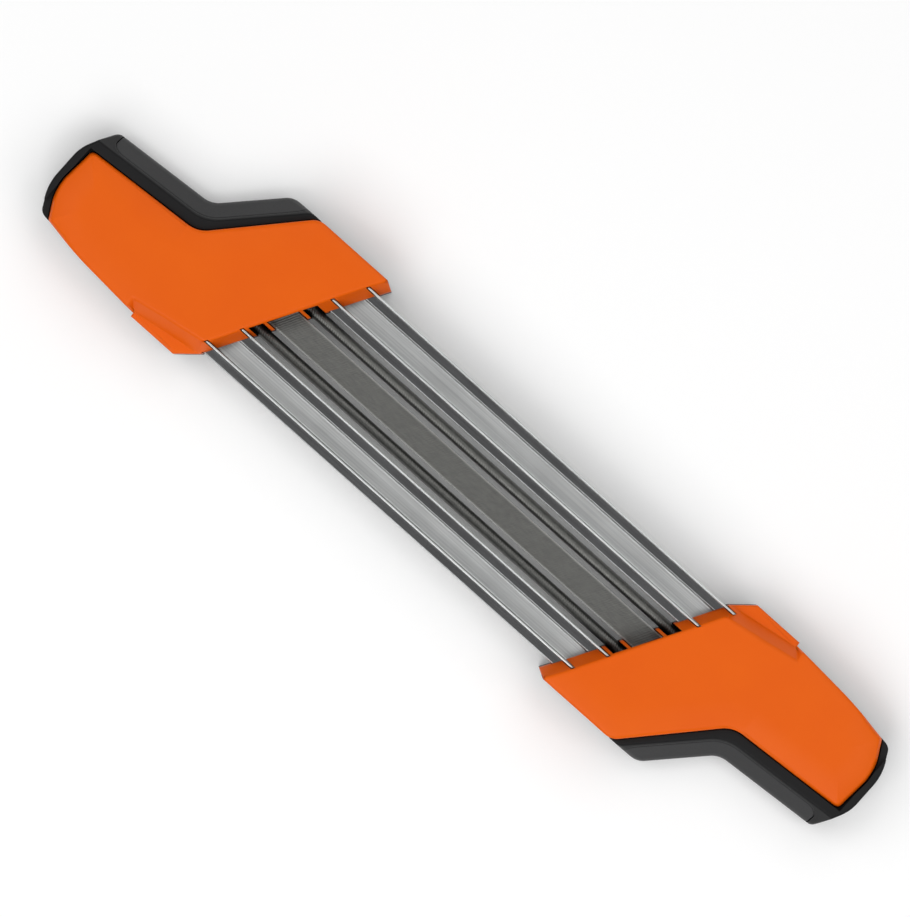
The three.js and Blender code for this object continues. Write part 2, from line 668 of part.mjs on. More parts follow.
/** The flat file between them, its tang towards +X. */
function makeFlatFile() {
  const half = FLAT_WIDTH / 2;
  const outline = new THREE.Shape();
  outline.moveTo(-fileEndX, -half);
  outline.lineTo(fileEndX - TANG_SLOPE, -half);
  outline.lineTo(fileEndX, -FLAT_TANG_ROOT / 2);
  outline.lineTo(fileEndX + FLAT_TANG, -FLAT_TANG_TIP / 2);
  outline.lineTo(fileEndX + FLAT_TANG, FLAT_TANG_TIP / 2);
  outline.lineTo(fileEndX, FLAT_TANG_ROOT / 2);
  outline.lineTo(fileEndX - TANG_SLOPE, half);
  outline.lineTo(-fileEndX, half);
  const geometry = new THREE.ExtrudeGeometry(outline, { depth: FLAT_THICKNESS, bevelEnabled: false });
  return geometry.translate(0, 0, flatZ);
}

const finishes = {
  orange: { color: 0xf06400, roughness: 0.35, metalness: 0 },
  black: { color: 0x1c1c1d, roughness: 0.5, metalness: 0 },
  soft: { color: 0x262627, roughness: 0.8, metalness: 0 },
  rubber: { color: 0x303030, roughness: 0.9, metalness: 0 },
  aluminium: { color: 0xb4b6b6, roughness: 0.35, metalness: 1 },
  steel: { color: 0x5c5c5a, roughness: 0.45, metalness: 1 },
  plated: { color: 0xc4c6c8, roughness: 0.25, metalness: 1 },
};

/** A named mesh in one of the finishes. */
function piece(name, geometry, finish) {
  const mesh = new THREE.Mesh(geometry, new THREE.MeshStandardMaterial(finishes[finish]));
  mesh.name = name;
  return mesh;
}

const leftFins = finSides(-railOuter);
const rightFins = finSides(railInner);
const allFins = [...leftFins, ...rightFins];
const baseGeometry = surface(makeBase());
const gripGeometry = surface(makeGrip());
const padGeometry = makeClampPad();
const pinGeometry = makePin();
const screwGeometry = makeScrew();

/** One handle with its screws, named with a letter, its cover slotted over the fins. */
function makeHandle(letter, fins) {
  const handle = new THREE.Group();
  handle.add(piece(`base_${letter}`, baseGeometry, 'black'));
  handle.add(piece(`cover_${letter}`, surface(makeCover(fins)), 'orange'));
  handle.add(piece(`grip_${letter}`, gripGeometry, 'soft'));
  handle.add(piece(`clamp_pad_${letter}`, padGeometry, 'rubber'));
  handle.add(piece(`hinge_pin_${letter}`, pinGeometry, 'plated'));
  screwPlaces().forEach(([x, y], i) => {
    const screw = piece(`rail_screw_${letter}${i + 1}`, screwGeometry, 'plated');
    screw.position.set(x, y, webTop + GAP);
    handle.add(screw);
  });
  return handle;
}

const group = new THREE.Group();
const handleA = makeHandle('a', turned(allFins));
handleA.rotation.z = Math.PI;
const handleB = makeHandle('b', allFins);
group.add(handleA, handleB);

const roundGeometry = makeRoundFile();
const farSide = new THREE.Group();
farSide.rotation.z = Math.PI;
farSide.add(piece('rail_left', makeRail(turned(leftFins)), 'aluminium'));
farSide.add(piece('round_file_left', roundGeometry, 'steel'));
group.add(piece('rail_right', makeRail(rightFins), 'aluminium'));
group.add(piece('round_file_right', roundGeometry, 'steel'));
group.add(piece('flat_file', makeFlatFile(), 'steel'));
group.add(farSide);

export default group;
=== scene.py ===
"""Saw chain filing guide: the looks of its pieces.

Two handles, each a black moulded base with a hinged orange cover, stand at the ends of two
aluminium rails. Two round files and one flat file lie between the rails. Sizes are in
millimetres, +X runs along the files and +Z is up. A half turn about Z swaps the handles, but
the rails' fins and the covers' slots for them stay on the ribs' edges towards +Y.
"""

import logging
import math
from collections.abc import Callable, Iterator, Sequence
from contextlib import contextmanager
from dataclasses import dataclass
from enum import Enum
from typing import ClassVar, NamedTuple

import bmesh
import bpy
from mathutils import Matrix, Vector


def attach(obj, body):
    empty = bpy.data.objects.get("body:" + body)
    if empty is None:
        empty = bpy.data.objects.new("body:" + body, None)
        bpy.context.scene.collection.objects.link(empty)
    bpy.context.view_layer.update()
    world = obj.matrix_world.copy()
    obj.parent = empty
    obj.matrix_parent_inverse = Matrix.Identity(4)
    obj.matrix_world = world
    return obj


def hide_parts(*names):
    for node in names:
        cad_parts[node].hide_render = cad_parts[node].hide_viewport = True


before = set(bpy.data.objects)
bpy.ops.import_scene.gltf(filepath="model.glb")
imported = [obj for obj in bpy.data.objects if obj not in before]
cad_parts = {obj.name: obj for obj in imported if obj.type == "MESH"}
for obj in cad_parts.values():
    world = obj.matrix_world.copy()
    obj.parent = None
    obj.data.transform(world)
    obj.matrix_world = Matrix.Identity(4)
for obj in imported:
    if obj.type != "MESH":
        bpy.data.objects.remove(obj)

log = logging.getLogger("guide")

METRE = 1000.0
Inputs = dict[str | int, object]
Place = tuple[float, float, float]
Section = list[tuple[float, float]]
Socket = bpy.types.NodeSocket
Tree = bpy.types.NodeTree


class Side(Enum):
    """The two handles: b is built as drawn, a is the same turned half round."""

    A = "a"
    B = "b"

    @property
    def turn(self) -> Matrix:
        """The turn that brings a piece drawn for handle b to this handle."""
        return Matrix.Rotation(math.pi if self is Side.A else 0.0, 4, "Z")


class Join(Enum):
    """How two solids are combined."""

    ADD = "UNION"
    CUT = "DIFFERENCE"
    COMMON = "INTERSECT"


def in_scene(name: str, data: bpy.types.ID) -> bpy.types.Object:
    """A new object, linked to the scene.

    Args:
        name: The object's name.
        data: Its mesh, lamp or camera.

    Returns:
        The object.
    """
    item = bpy.data.objects.new(name, data)
    bpy.context.scene.collection.objects.link(item)
    return item


# Colours and nodes


def linear(code: str) -> tuple[float, float, float, float]:
    """Turns an sRGB hex colour to linear light.

    Args:
        code: Six hex digits after a hash sign.

    Returns:
        Red, green, blue and an alpha of one.
    """
    channels = [int(code[i:i + 2], 16) / 255 for i in (1, 3, 5)]
    red, green, blue = (c / 12.92 if c <= 0.04045 else ((c + 0.055) / 1.055) ** 2.4 for c in channels)
    return red, green, blue, 1.0


def per_mm(size: float) -> float:
    """The texture scale at which a pattern repeats about every size millimetres."""
    return METRE / size


def add_node(tree: Tree, kind: str, inputs: Inputs, **settings: object) -> bpy.types.Node:
    """Adds a node with its settings and links.

    Args:
        tree: The node tree that gets the node.
        kind: The node's type name.
        inputs: For each input socket, by name or place, its value or the output linked to it.
        settings: The node's own options.

    Returns:
        The new node.
    """
    node = tree.nodes.new(kind)
    for option, value in settings.items():
        setattr(node, option, value)
    for key, value in inputs.items():
        if isinstance(value, Socket):
            tree.links.new(value, node.inputs[key])
        else:
            node.inputs[key].default_value = value
    return node


# A mix of two colours has its colour sockets at these places
MIX_FACTOR, MIX_FIRST, MIX_SECOND, MIX_RESULT = 0, 6, 7, 2


def blank_material(name: str) -> tuple[bpy.types.Material, Tree]:
    """A material with an empty node tree.

    Args:
        name: The material's name.

    Returns:
        The material and its tree.
    """
    material = bpy.data.materials.new(name)
    material.use_nodes = True
    material.node_tree.nodes.clear()
    return material, material.node_tree


class Patterns(NamedTuple):
    """A finish's patterns: where its second colour, its wear, its mottle and its relief show."""

    second: Socket
    worn: Socket
    mottle: Socket
    raised: Socket


@dataclass(frozen=True)
class Finish:
    """A real material: two colours in a pattern, a mottled gloss and edges rubbed by use.

    An edge is rubbed where the normal rounded over it parts from the face's own: it starts
    where they agree by rub_start and is complete at rub_full.
    """

    name: str
    colour: str
    second_colour: str
    edge_colour: str
    roughness: float
    edge_roughness: float
    edge: float
    relief: float

    rub_start: ClassVar[float] = 0.985
    rub_full: ClassVar[float]
    mottle: ClassVar[float]
    bump: ClassVar[float]

    def patterns(self, tree: Tree, place: Socket, rubbed: Socket) -> Patterns:
        """The patterns of this kind of material."""
        raise NotImplementedError

    def shading(self) -> Inputs:
        """The shader's inputs for this kind of material."""
        raise NotImplementedError

    def material(self) -> bpy.types.Material:
        """Builds the material.

        Returns:
            The material.
        """
        material, tree = blank_material(self.name)
        place = add_node(tree, "ShaderNodeTexCoord", {}).outputs["Object"]
        normal = add_node(tree, "ShaderNodeNewGeometry", {}).outputs["Normal"]
        rounded = add_node(tree, "ShaderNodeBevel", {"Radius": self.edge / METRE}, samples=6)
        facing = add_node(tree, "ShaderNodeVectorMath",
                          {0: rounded.outputs["Normal"], 1: normal}, operation="DOT_PRODUCT")
        rubbed = add_node(tree, "ShaderNodeMapRange",
                          {"Value": facing.outputs["Value"], "From Min": self.rub_start,
                           "From Max": self.rub_full})
        seen = self.patterns(tree, place, rubbed.outputs["Result"])
        body = add_node(tree, "ShaderNodeMix",
                        {MIX_FACTOR: seen.second, MIX_FIRST: linear(self.colour),
                         MIX_SECOND: linear(self.second_colour)}, data_type="RGBA")
        worn = add_node(tree, "ShaderNodeMix",
                        {MIX_FACTOR: seen.worn, MIX_FIRST: body.outputs[MIX_RESULT],
                         MIX_SECOND: linear(self.edge_colour)}, data_type="RGBA")
        gloss = add_node(tree, "ShaderNodeMapRange",
                         {"Value": seen.worn, "To Min": self.roughness, "To Max": self.edge_roughness})
        mottled = add_node(tree, "ShaderNodeMath",
                           {0: seen.mottle, 1: self.mottle, 2: gloss.outputs["Result"]},
                           operation="MULTIPLY_ADD")
        bump = add_node(tree, "ShaderNodeBump",
                        {"Height": seen.raised, "Strength": self.bump,
                         "Distance": self.relief / METRE, "Normal": rounded.outputs["Normal"]})
        shader = add_node(tree, "ShaderNodeBsdfPrincipled",
                          {"Base Color": worn.outputs[MIX_RESULT], "Roughness": mottled.outputs["Value"],
                           "Normal": bump.outputs["Normal"], **self.shading()})
        add_node(tree, "ShaderNodeOutputMaterial", {"Surface": shader.outputs["BSDF"]})
        return material


@dataclass(frozen=True)
class Plastic(Finish):
    """A moulded plastic or rubber.

    The mould's spark eroded texture breaks up the gloss, slow clouds vary the colour as
    uneven pigment does, and corners are rubbed smoother and paler by handling. The texture's
    grains are drawn coarser than real ones to show; those are guessed at about 0.1 mm.
    """

    edge: float = 0.45
    relief: float = 0.012
    ior: float = 1.5
    grain: float = 0.45
    cloud: float = 22.0
    specular: float = 0.5
    sheen: float = 0.0

    rub_full: ClassVar[float] = 0.80
    mottle: ClassVar[float] = 0.10
    bump: ClassVar[float] = 0.6

    def patterns(self, tree: Tree, place: Socket, rubbed: Socket) -> Patterns:
        """Adds the clouds in the colour and the mould's grain.

        Args:
            tree: The material's nodes.
            place: The place on the object.
            rubbed: How far an edge is rubbed.

        Returns:
            The patterns: the clouds also make the wear patchy.
        """
        clouds = add_node(tree, "ShaderNodeTexNoise",
                          {"Vector": place, "Scale": per_mm(self.cloud), "Detail": 3.0}).outputs["Fac"]
        grains = add_node(tree, "ShaderNodeTexNoise",
                          {"Vector": place, "Scale": per_mm(self.grain), "Detail": 2.0}).outputs["Fac"]
        patchy = add_node(tree, "ShaderNodeMath", {0: rubbed, 1: clouds}, operation="MULTIPLY")
        return Patterns(clouds, patchy.outputs["Value"], grains, grains)

    def shading(self) -> Inputs:
        """The shader's inputs for a plastic."""
        return {"IOR": self.ior, "Specular IOR Level": self.specular, "Sheen Weight": self.sheen}


@dataclass(frozen=True)
class Metal(Finish):
    """A drawn, cut or plated metal: fine lines or spots, and edges burnished by use.

    Lines run the way the metal was drawn through its die and stretch the highlights across
    them; where they are as long as they are wide they are the spots of a plated skin. The
    lines are drawn wider than real ones to show; those are guessed at about 0.1 mm.
    """

    edge: float = 0.3
    relief: float = 0.004
    line_width: float = 0.5
    line_length: float = 60.0
    stain: float = 14.0

    rub_full: ClassVar[float] = 0.85
    mottle: ClassVar[float] = 0.12
    bump: ClassVar[float] = 0.5

    def patterns(self, tree: Tree, place: Socket, rubbed: Socket) -> Patterns:
        """Adds the lines along X and slow stains in the gloss.

        Args:
            tree: The material's nodes.
            place: The place on the object.
            rubbed: How far an edge is burnished.

        Returns:
            The patterns.
        """
        along = add_node(tree, "ShaderNodeMapping",
                         {"Vector": place, "Scale": (self.line_width / self.line_length, 1.0, 1.0)})
        lines = add_node(tree, "ShaderNodeTexNoise",
                         {"Vector": along.outputs["Vector"], "Scale": per_mm(self.line_width),
                          "Detail": 4.0, "Roughness": 0.65}).outputs["Fac"]
        stains = add_node(tree, "ShaderNodeTexNoise",
                          {"Vector": place, "Scale": per_mm(self.stain), "Detail": 4.0}).outputs["Fac"]
        streaks = add_node(tree, "ShaderNodeMapRange",
                           {"Value": lines, "From Min": 0.35, "From Max": 0.65})
        return Patterns(streaks.outputs["Result"], rubbed, stains, lines)

    def shading(self) -> Inputs:
        """The shader's inputs for a metal."""
        return {"Metallic": 1.0}


# ABS, injection moulded: an even, saturated orange with a soft gloss
ORANGE_ABS = Plastic("moulded_orange_abs", "#E25A00", "#E86200", "#F0842C",
                     roughness=0.34, edge_roughness=0.24, ior=1.54, specular=0.14)
# Glass filled nylon, injection moulded: black with a dull satin skin
BLACK_NYLON = Plastic("moulded_black_nylon", "#111112", "#161617", "#2E2E2F",
                      roughness=0.42, edge_roughness=0.30, ior=1.53, relief=0.02, specular=0.16)
# Thermoplastic elastomer, moulded over the shell: matt, a little greyer, leather grained
SOFT_ELASTOMER = Plastic("moulded_soft_elastomer", "#272728", "#2E2E2F", "#3C3C3D",
                         roughness=0.62, edge_roughness=0.50, ior=1.5, grain=0.9, relief=0.06,
                         specular=0.3, sheen=0.08)
# Nitrile rubber, pressed: a matt dark grey
PRESSED_RUBBER = Plastic("pressed_nitrile_rubber", "#2B2B2B", "#323232", "#3A3A3A",
                         roughness=0.72, edge_roughness=0.65, ior=1.52, grain=0.6, relief=0.03)
# Aluminium, extruded: satin between the ribs, with lines along the bar from the die
DRAWN_ALUMINIUM = Metal("extruded_aluminium", "#B9BBBB", "#D2D3D2", "#E6E7E6",
                        roughness=0.30, edge_roughness=0.18)
# The same aluminium on its ribs' tops, glossy and coloured dark: painted shade, as if in the fins'
# shadow
PAINTED_SHADE_ALUMINIUM = Metal("aluminium_painted_shade", "#6E6E6F", "#858687", "#DADBDA",
                            roughness=0.16, edge_roughness=0.14, relief=0.002)
# Carbon file steel, cut and hardened: dark grey with brighter tooth edges
FILE_STEEL = Metal("cut_file_steel", "#5B5B59", "#6C6C69", "#9C9C98",
                   roughness=0.34, edge_roughness=0.24, line_width=0.35, line_length=3.0)
# The same steel on the plain, untoothed strips along the flat file's edges, coloured pale and fairly
# bright: a painted highlight along the edges
PAINTED_HIGHLIGHT_STEEL = Metal("file_steel_painted_highlight", "#8C8C89", "#999996", "#BDBDBA",
                     roughness=0.28, edge_roughness=0.20, line_width=0.35, line_length=20.0)
# Steel, zinc plated: pale and bright with a faint crystal mottle
ZINC_PLATE = Metal("zinc_plated_steel", "#B7BABC", "#CACDCF", "#DDE0E2",
                   roughness=0.22, edge_roughness=0.18, line_width=0.5, line_length=0.5)


# Solids


def arc(centre: tuple[float, float], radius: float, start: float, end: float, steps: int) -> Section:
    """Points on an arc.

    Args:
        centre: The arc's centre.
        radius: Its radius.
        start: Its first angle in degrees.
        end: Its last angle in degrees.
        steps: Facets along it.

    Returns:
        The points, both ends among them.
    """
    angles = [math.radians(start + (end - start) * k / steps) for k in range(steps + 1)]
    return [(centre[0] + radius * math.cos(a), centre[1] + radius * math.sin(a)) for a in angles]


def circle(radius: float, steps: int) -> Section:
    """Points round a circle about the origin."""
    return arc((0.0, 0.0), radius, 0, 360 * (steps - 1) / steps, steps - 1)


def quarter(steps: int) -> list[float]:
    """Angles over a quarter turn, both ends among them."""
    return [math.pi / 2 * k / steps for k in range(steps + 1)]


def fallen(share: float) -> float:
    """How far a quarter circle has fallen at a share of its radius from its crown."""
    return 1 - math.sqrt(1 - max(share, 0.0) ** 2)


def convex(edge: bmesh.types.BMEdge) -> bool:
    """Whether an edge stands out."""
    return edge.is_convex


@dataclass
class Solid:
    """A closed body in millimetres, built from rings and combined with others."""

    mesh: bpy.types.Mesh

    same_point: ClassVar[float] = 1e-4
    near_point: ClassVar[float] = 0.01
    sliver: ClassVar[float] = 0.02
    flat_angle: ClassVar[float] = 0.4

    @classmethod
    def loft(cls, rings: Sequence[Sequence[Place]]) -> "Solid":
        """A body through rings of equal point count.

        Args:
            rings: Rings of points, counter-clockwise seen from the last towards the first.

        Returns:
            The closed body, with a flat face at each end.
        """
        count = len(rings[0])
        points = [point for ring in rings for point in ring]
        faces: list[tuple[int, ...]] = [tuple(reversed(range(count)))]
        for level in range(len(rings) - 1):
            for i in range(count):
                a, b = level * count + i, level * count + (i + 1) % count
                faces.append((a, b, b + count, a + count))
        last = (len(rings) - 1) * count
        faces.append(tuple(range(last, last + count)))
        body = cls(bpy.data.meshes.new("solid"))
        body.mesh.from_pydata(points, [], faces)
        with body.edited() as shape:
            bmesh.ops.remove_doubles(shape, verts=shape.verts, dist=cls.same_point)
            bmesh.ops.dissolve_degenerate(shape, edges=shape.edges, dist=cls.same_point)
            bmesh.ops.recalc_face_normals(shape, faces=shape.faces)
        return body

    @classmethod
    def prism(cls, section: Section, place: Callable[[float, float, float], Place],
              start: float, end: float) -> "Solid":
        """A body of one section all along.

        Args:
            section: The section's corners, counter-clockwise seen from its end.
            place: Puts a section point and a distance along the prism in space.
            start: Where the prism starts.
            end: Where it ends.

        Returns:
            The closed body.
        """
        return cls.loft([[place(u, v, w) for u, v in section] for w in (start, end)])

    @classmethod
    def block(cls, x: Sequence[float], y: Sequence[float], z: Sequence[float]) -> "Solid":
        """A block between two values on each axis."""
        section = [(x[0], y[0]), (x[1], y[0]), (x[1], y[1]), (x[0], y[1])]
        return cls.prism(section, lambda u, v, w: (u, v, w), z[0], z[1])

    @classmethod
    def turned(cls, profile: Section, steps: int = 48) -> "Solid":
        """A body turned about Z from radii and heights, lowest first."""
        angles = [2 * math.pi * k / steps for k in range(steps)]
        return cls.loft([[(r * math.cos(a), r * math.sin(a), z) for a in angles] for r, z in profile])

    @contextmanager
    def edited(self) -> Iterator[bmesh.types.BMesh]:
        """Opens the body's mesh for editing and writes it back.

        Yields:
            The open mesh.
        """
        shape = bmesh.new()
        shape.from_mesh(self.mesh)
        yield shape
        shape.to_mesh(self.mesh)
        shape.free()

    def moved(self, matrix: Matrix) -> "Solid":
        """A copy of the body, moved by a matrix in millimetres.

        Args:
            matrix: The move.

        Returns:
            The copy.
        """
        mesh = self.mesh.copy()
        mesh.transform(matrix)
        return Solid(mesh)

    def combined(self, how: Join, *others: "Solid") -> "Solid":
        """The body joined with, cut by or kept within each of the others in turn.

        Args:
            how: Which of the three.
            others: The other bodies.

        Returns:
            A new body.
        """
        body = self
        for other in others:
            carrier, tool = in_scene("carrier", body.mesh), in_scene("tool", other.mesh)
            step = carrier.modifiers.new("step", "BOOLEAN")
            step.operation, step.solver, step.object = how.value, "MANIFOLD", tool
            graph = bpy.context.evaluated_depsgraph_get()
            body = Solid(bpy.data.meshes.new_from_object(carrier.evaluated_get(graph)))
            body.mesh.materials.clear()
            for item in (carrier, tool):
                bpy.data.objects.remove(item)
        return body

    def cut(self, *others: "Solid") -> "Solid":
        """The body without the others."""
        return self.combined(Join.CUT, *others)

    def add(self, *others: "Solid") -> "Solid":
        """The body joined with the others."""
        return self.combined(Join.ADD, *others)

    def within(self, *others: "Solid") -> "Solid":
        """What the body shares with the others."""
        return self.combined(Join.COMMON, *others)

    def merged(self) -> "Solid":
        """Makes coplanar faces one and takes out sliver edges.

        Returns:
            The same body.
        """
        with self.edited() as shape:
            bmesh.ops.remove_doubles(shape, verts=shape.verts, dist=self.near_point)
            bmesh.ops.dissolve_degenerate(shape, edges=shape.edges, dist=self.sliver)
            bmesh.ops.dissolve_limit(shape, angle_limit=math.radians(self.flat_angle),
                                     verts=shape.verts, edges=shape.edges)
        return self

    def softened(self, width: float, steps: int, least: float = 32.0,
                 chosen: Callable[[bmesh.types.BMEdge], bool] = convex) -> "Solid":
        """Rounds sharp edges.

        Args:
            width: How far the rounding reaches from the edge.
            steps: Facets across the rounding.
            least: The angle in degrees from which an edge counts as sharp.
            chosen: Whether an edge is one of those to round.

        Returns:
            The same body, rounded.
        """
        with self.edited() as shape:
            shape.normal_update()
            edges = [e for e in shape.edges if e.is_manifold
                     and e.calc_face_angle(0.0) > math.radians(least) and chosen(e)]
            bmesh.ops.bevel(shape, geom=edges, offset=width, offset_type="OFFSET", segments=steps,
                            profile=0.5, affect="EDGES", clamp_overlap=False)
        return self


def show(name: str, solid: Solid, finishes: Sequence[bpy.types.Material], body: str, slot: str,
         side: Side = Side.B, sharp: float = 34.0) -> None:
    """Makes a solid a piece of the model in place of the frame's piece of the same place.

    Args:
        name: The frame node that the piece stands for; the piece's own name comes from it.
        solid: The body, in millimetres, drawn for handle b.
        finishes: Its materials, in the order of its faces' material numbers.
        body: The frame's body that it moves with.
        slot: The record's material slot; not used.
        side: The handle that it belongs to.
        sharp: The angle in degrees from which an edge is drawn sharp.
    """
    mesh = solid.mesh.copy()
    mesh.name = f"{name}_dressed"
    mesh.transform(side.turn)
    mesh.transform(Matrix.Scale(1 / METRE, 4))
    for finish in finishes:
        mesh.materials.append(finish)
    mesh.shade_smooth()
    mesh.set_sharp_from_angle(angle=math.radians(sharp))
    piece = in_scene(f"{name}_dressed", mesh)
    weighted = piece.modifiers.new("even_shading", "WEIGHTED_NORMAL")
    weighted.keep_sharp = True
    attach(piece, body)
    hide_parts(name)
    log.info("%s: %d faces", name, len(mesh.polygons))


# Layout


@dataclass(frozen=True)
class Layout:
    """Places that several pieces share."""

    file_length: float = 200.0
    file_seat: float = 19.7
    handle_length: float = 94.9
    filing_angle: float = 30.0
    file_space: float = 1.7
    side_margin: float = 7.0
    gap: float = 0.3
    rail_width: float = 15.2
    rail_height: float = 7.5
    rib_width: float = 4.0
    fin_width: float = 0.7
    fin_height: float = 6.1
    rail_level: float = 10.0
    web_thickness: float = 3.0
    rail_long_seat: float = 37.7
    rail_short_seat: float = 13.7
    round_radius: float = 2.0
    round_below: float = 1.2
    flat_width: float = 9.6
    flat_thickness: float = 3.2
    flat_below: float = 0.65
    screw_from_end: float = 6.0
    screw_spacing: float = 10.0
    screw_radius: float = 1.9

    @property
    def foot_x(self) -> float:
        """Where a handle's inner face meets the centre line."""
        return self.file_length / 2 - self.file_seat

    @property
    def end_x(self) -> float:
        """The tool's outer end."""
        return self.foot_x + self.handle_length

    @property
    def round_y(self) -> float:
        """A round file's axis, from the centre line."""
        return self.flat_width / 2 + self.file_space + self.round_radius

    @property
    def round_z(self) -> float:
        """A round file's axis, from the floor."""
        return self.rail_level - self.round_below

    @property
    def flat_z(self) -> float:
        """The flat file's underside."""
        return self.rail_level - self.flat_below

    @property
    def rail_inner(self) -> float:
        """A rail's inner side, from the centre line."""
        return self.round_y + self.round_radius + self.file_space

    @property
    def rail_outer(self) -> float:
        """A rail's outer side, from the centre line."""
        return self.rail_inner + self.rail_width

    @property
    def rail_middle(self) -> float:
        """A rail's middle, from the centre line."""
        return (self.rail_inner + self.rail_outer) / 2

    @property
    def half_width(self) -> float:
        """Half the width of the handles."""
        return self.rail_outer + self.side_margin

    @property
    def rail_top(self) -> float:
        """The tops of the rails' ribs."""
        return self.rail_level + self.rail_height

    @property
    def fin_top(self) -> float:
        """The tops of the rails' fins."""
        return self.rail_top + self.fin_height

    @property
    def web_top(self) -> float:
        """The top of a rail between its ribs."""
        return self.rail_level + self.web_thickness

    @property
    def inner_x(self) -> float:
        """The inner end of a handle on its straight side."""
        return self.foot_x - self.half_width * math.tan(math.radians(self.filing_angle))

    @property
    def rail_long_end(self) -> float:
        """The end of the rail that runs deep into the handle."""
        return self.foot_x + self.rail_long_seat

    @property
    def rail_short_end(self) -> float:
        """The end of the other rail."""
        return self.foot_x + self.rail_short_seat

    @property
    def screw_places(self) -> list[tuple[float, float]]:
        """A handle's rail screws: two in each rail.

        Returns:
            Each one's place along X and Y.
        """
        ends = [(self.rail_long_end, self.rail_middle), (self.rail_short_end, -self.rail_middle)]
        return [(x - self.screw_from_end - step, y)
                for x, y in ends for step in (0.0, self.screw_spacing)]

    def fins(self, rail: Side) -> list[tuple[float, float]]:
        """Both faces along Y of one rail's fins, which stand on its ribs' edges towards +Y."""
        foot = self.rail_inner if rail is Side.B else -self.rail_outer
        return [(foot + end - self.fin_width, foot + end) for end in (self.rib_width, self.rail_width)]


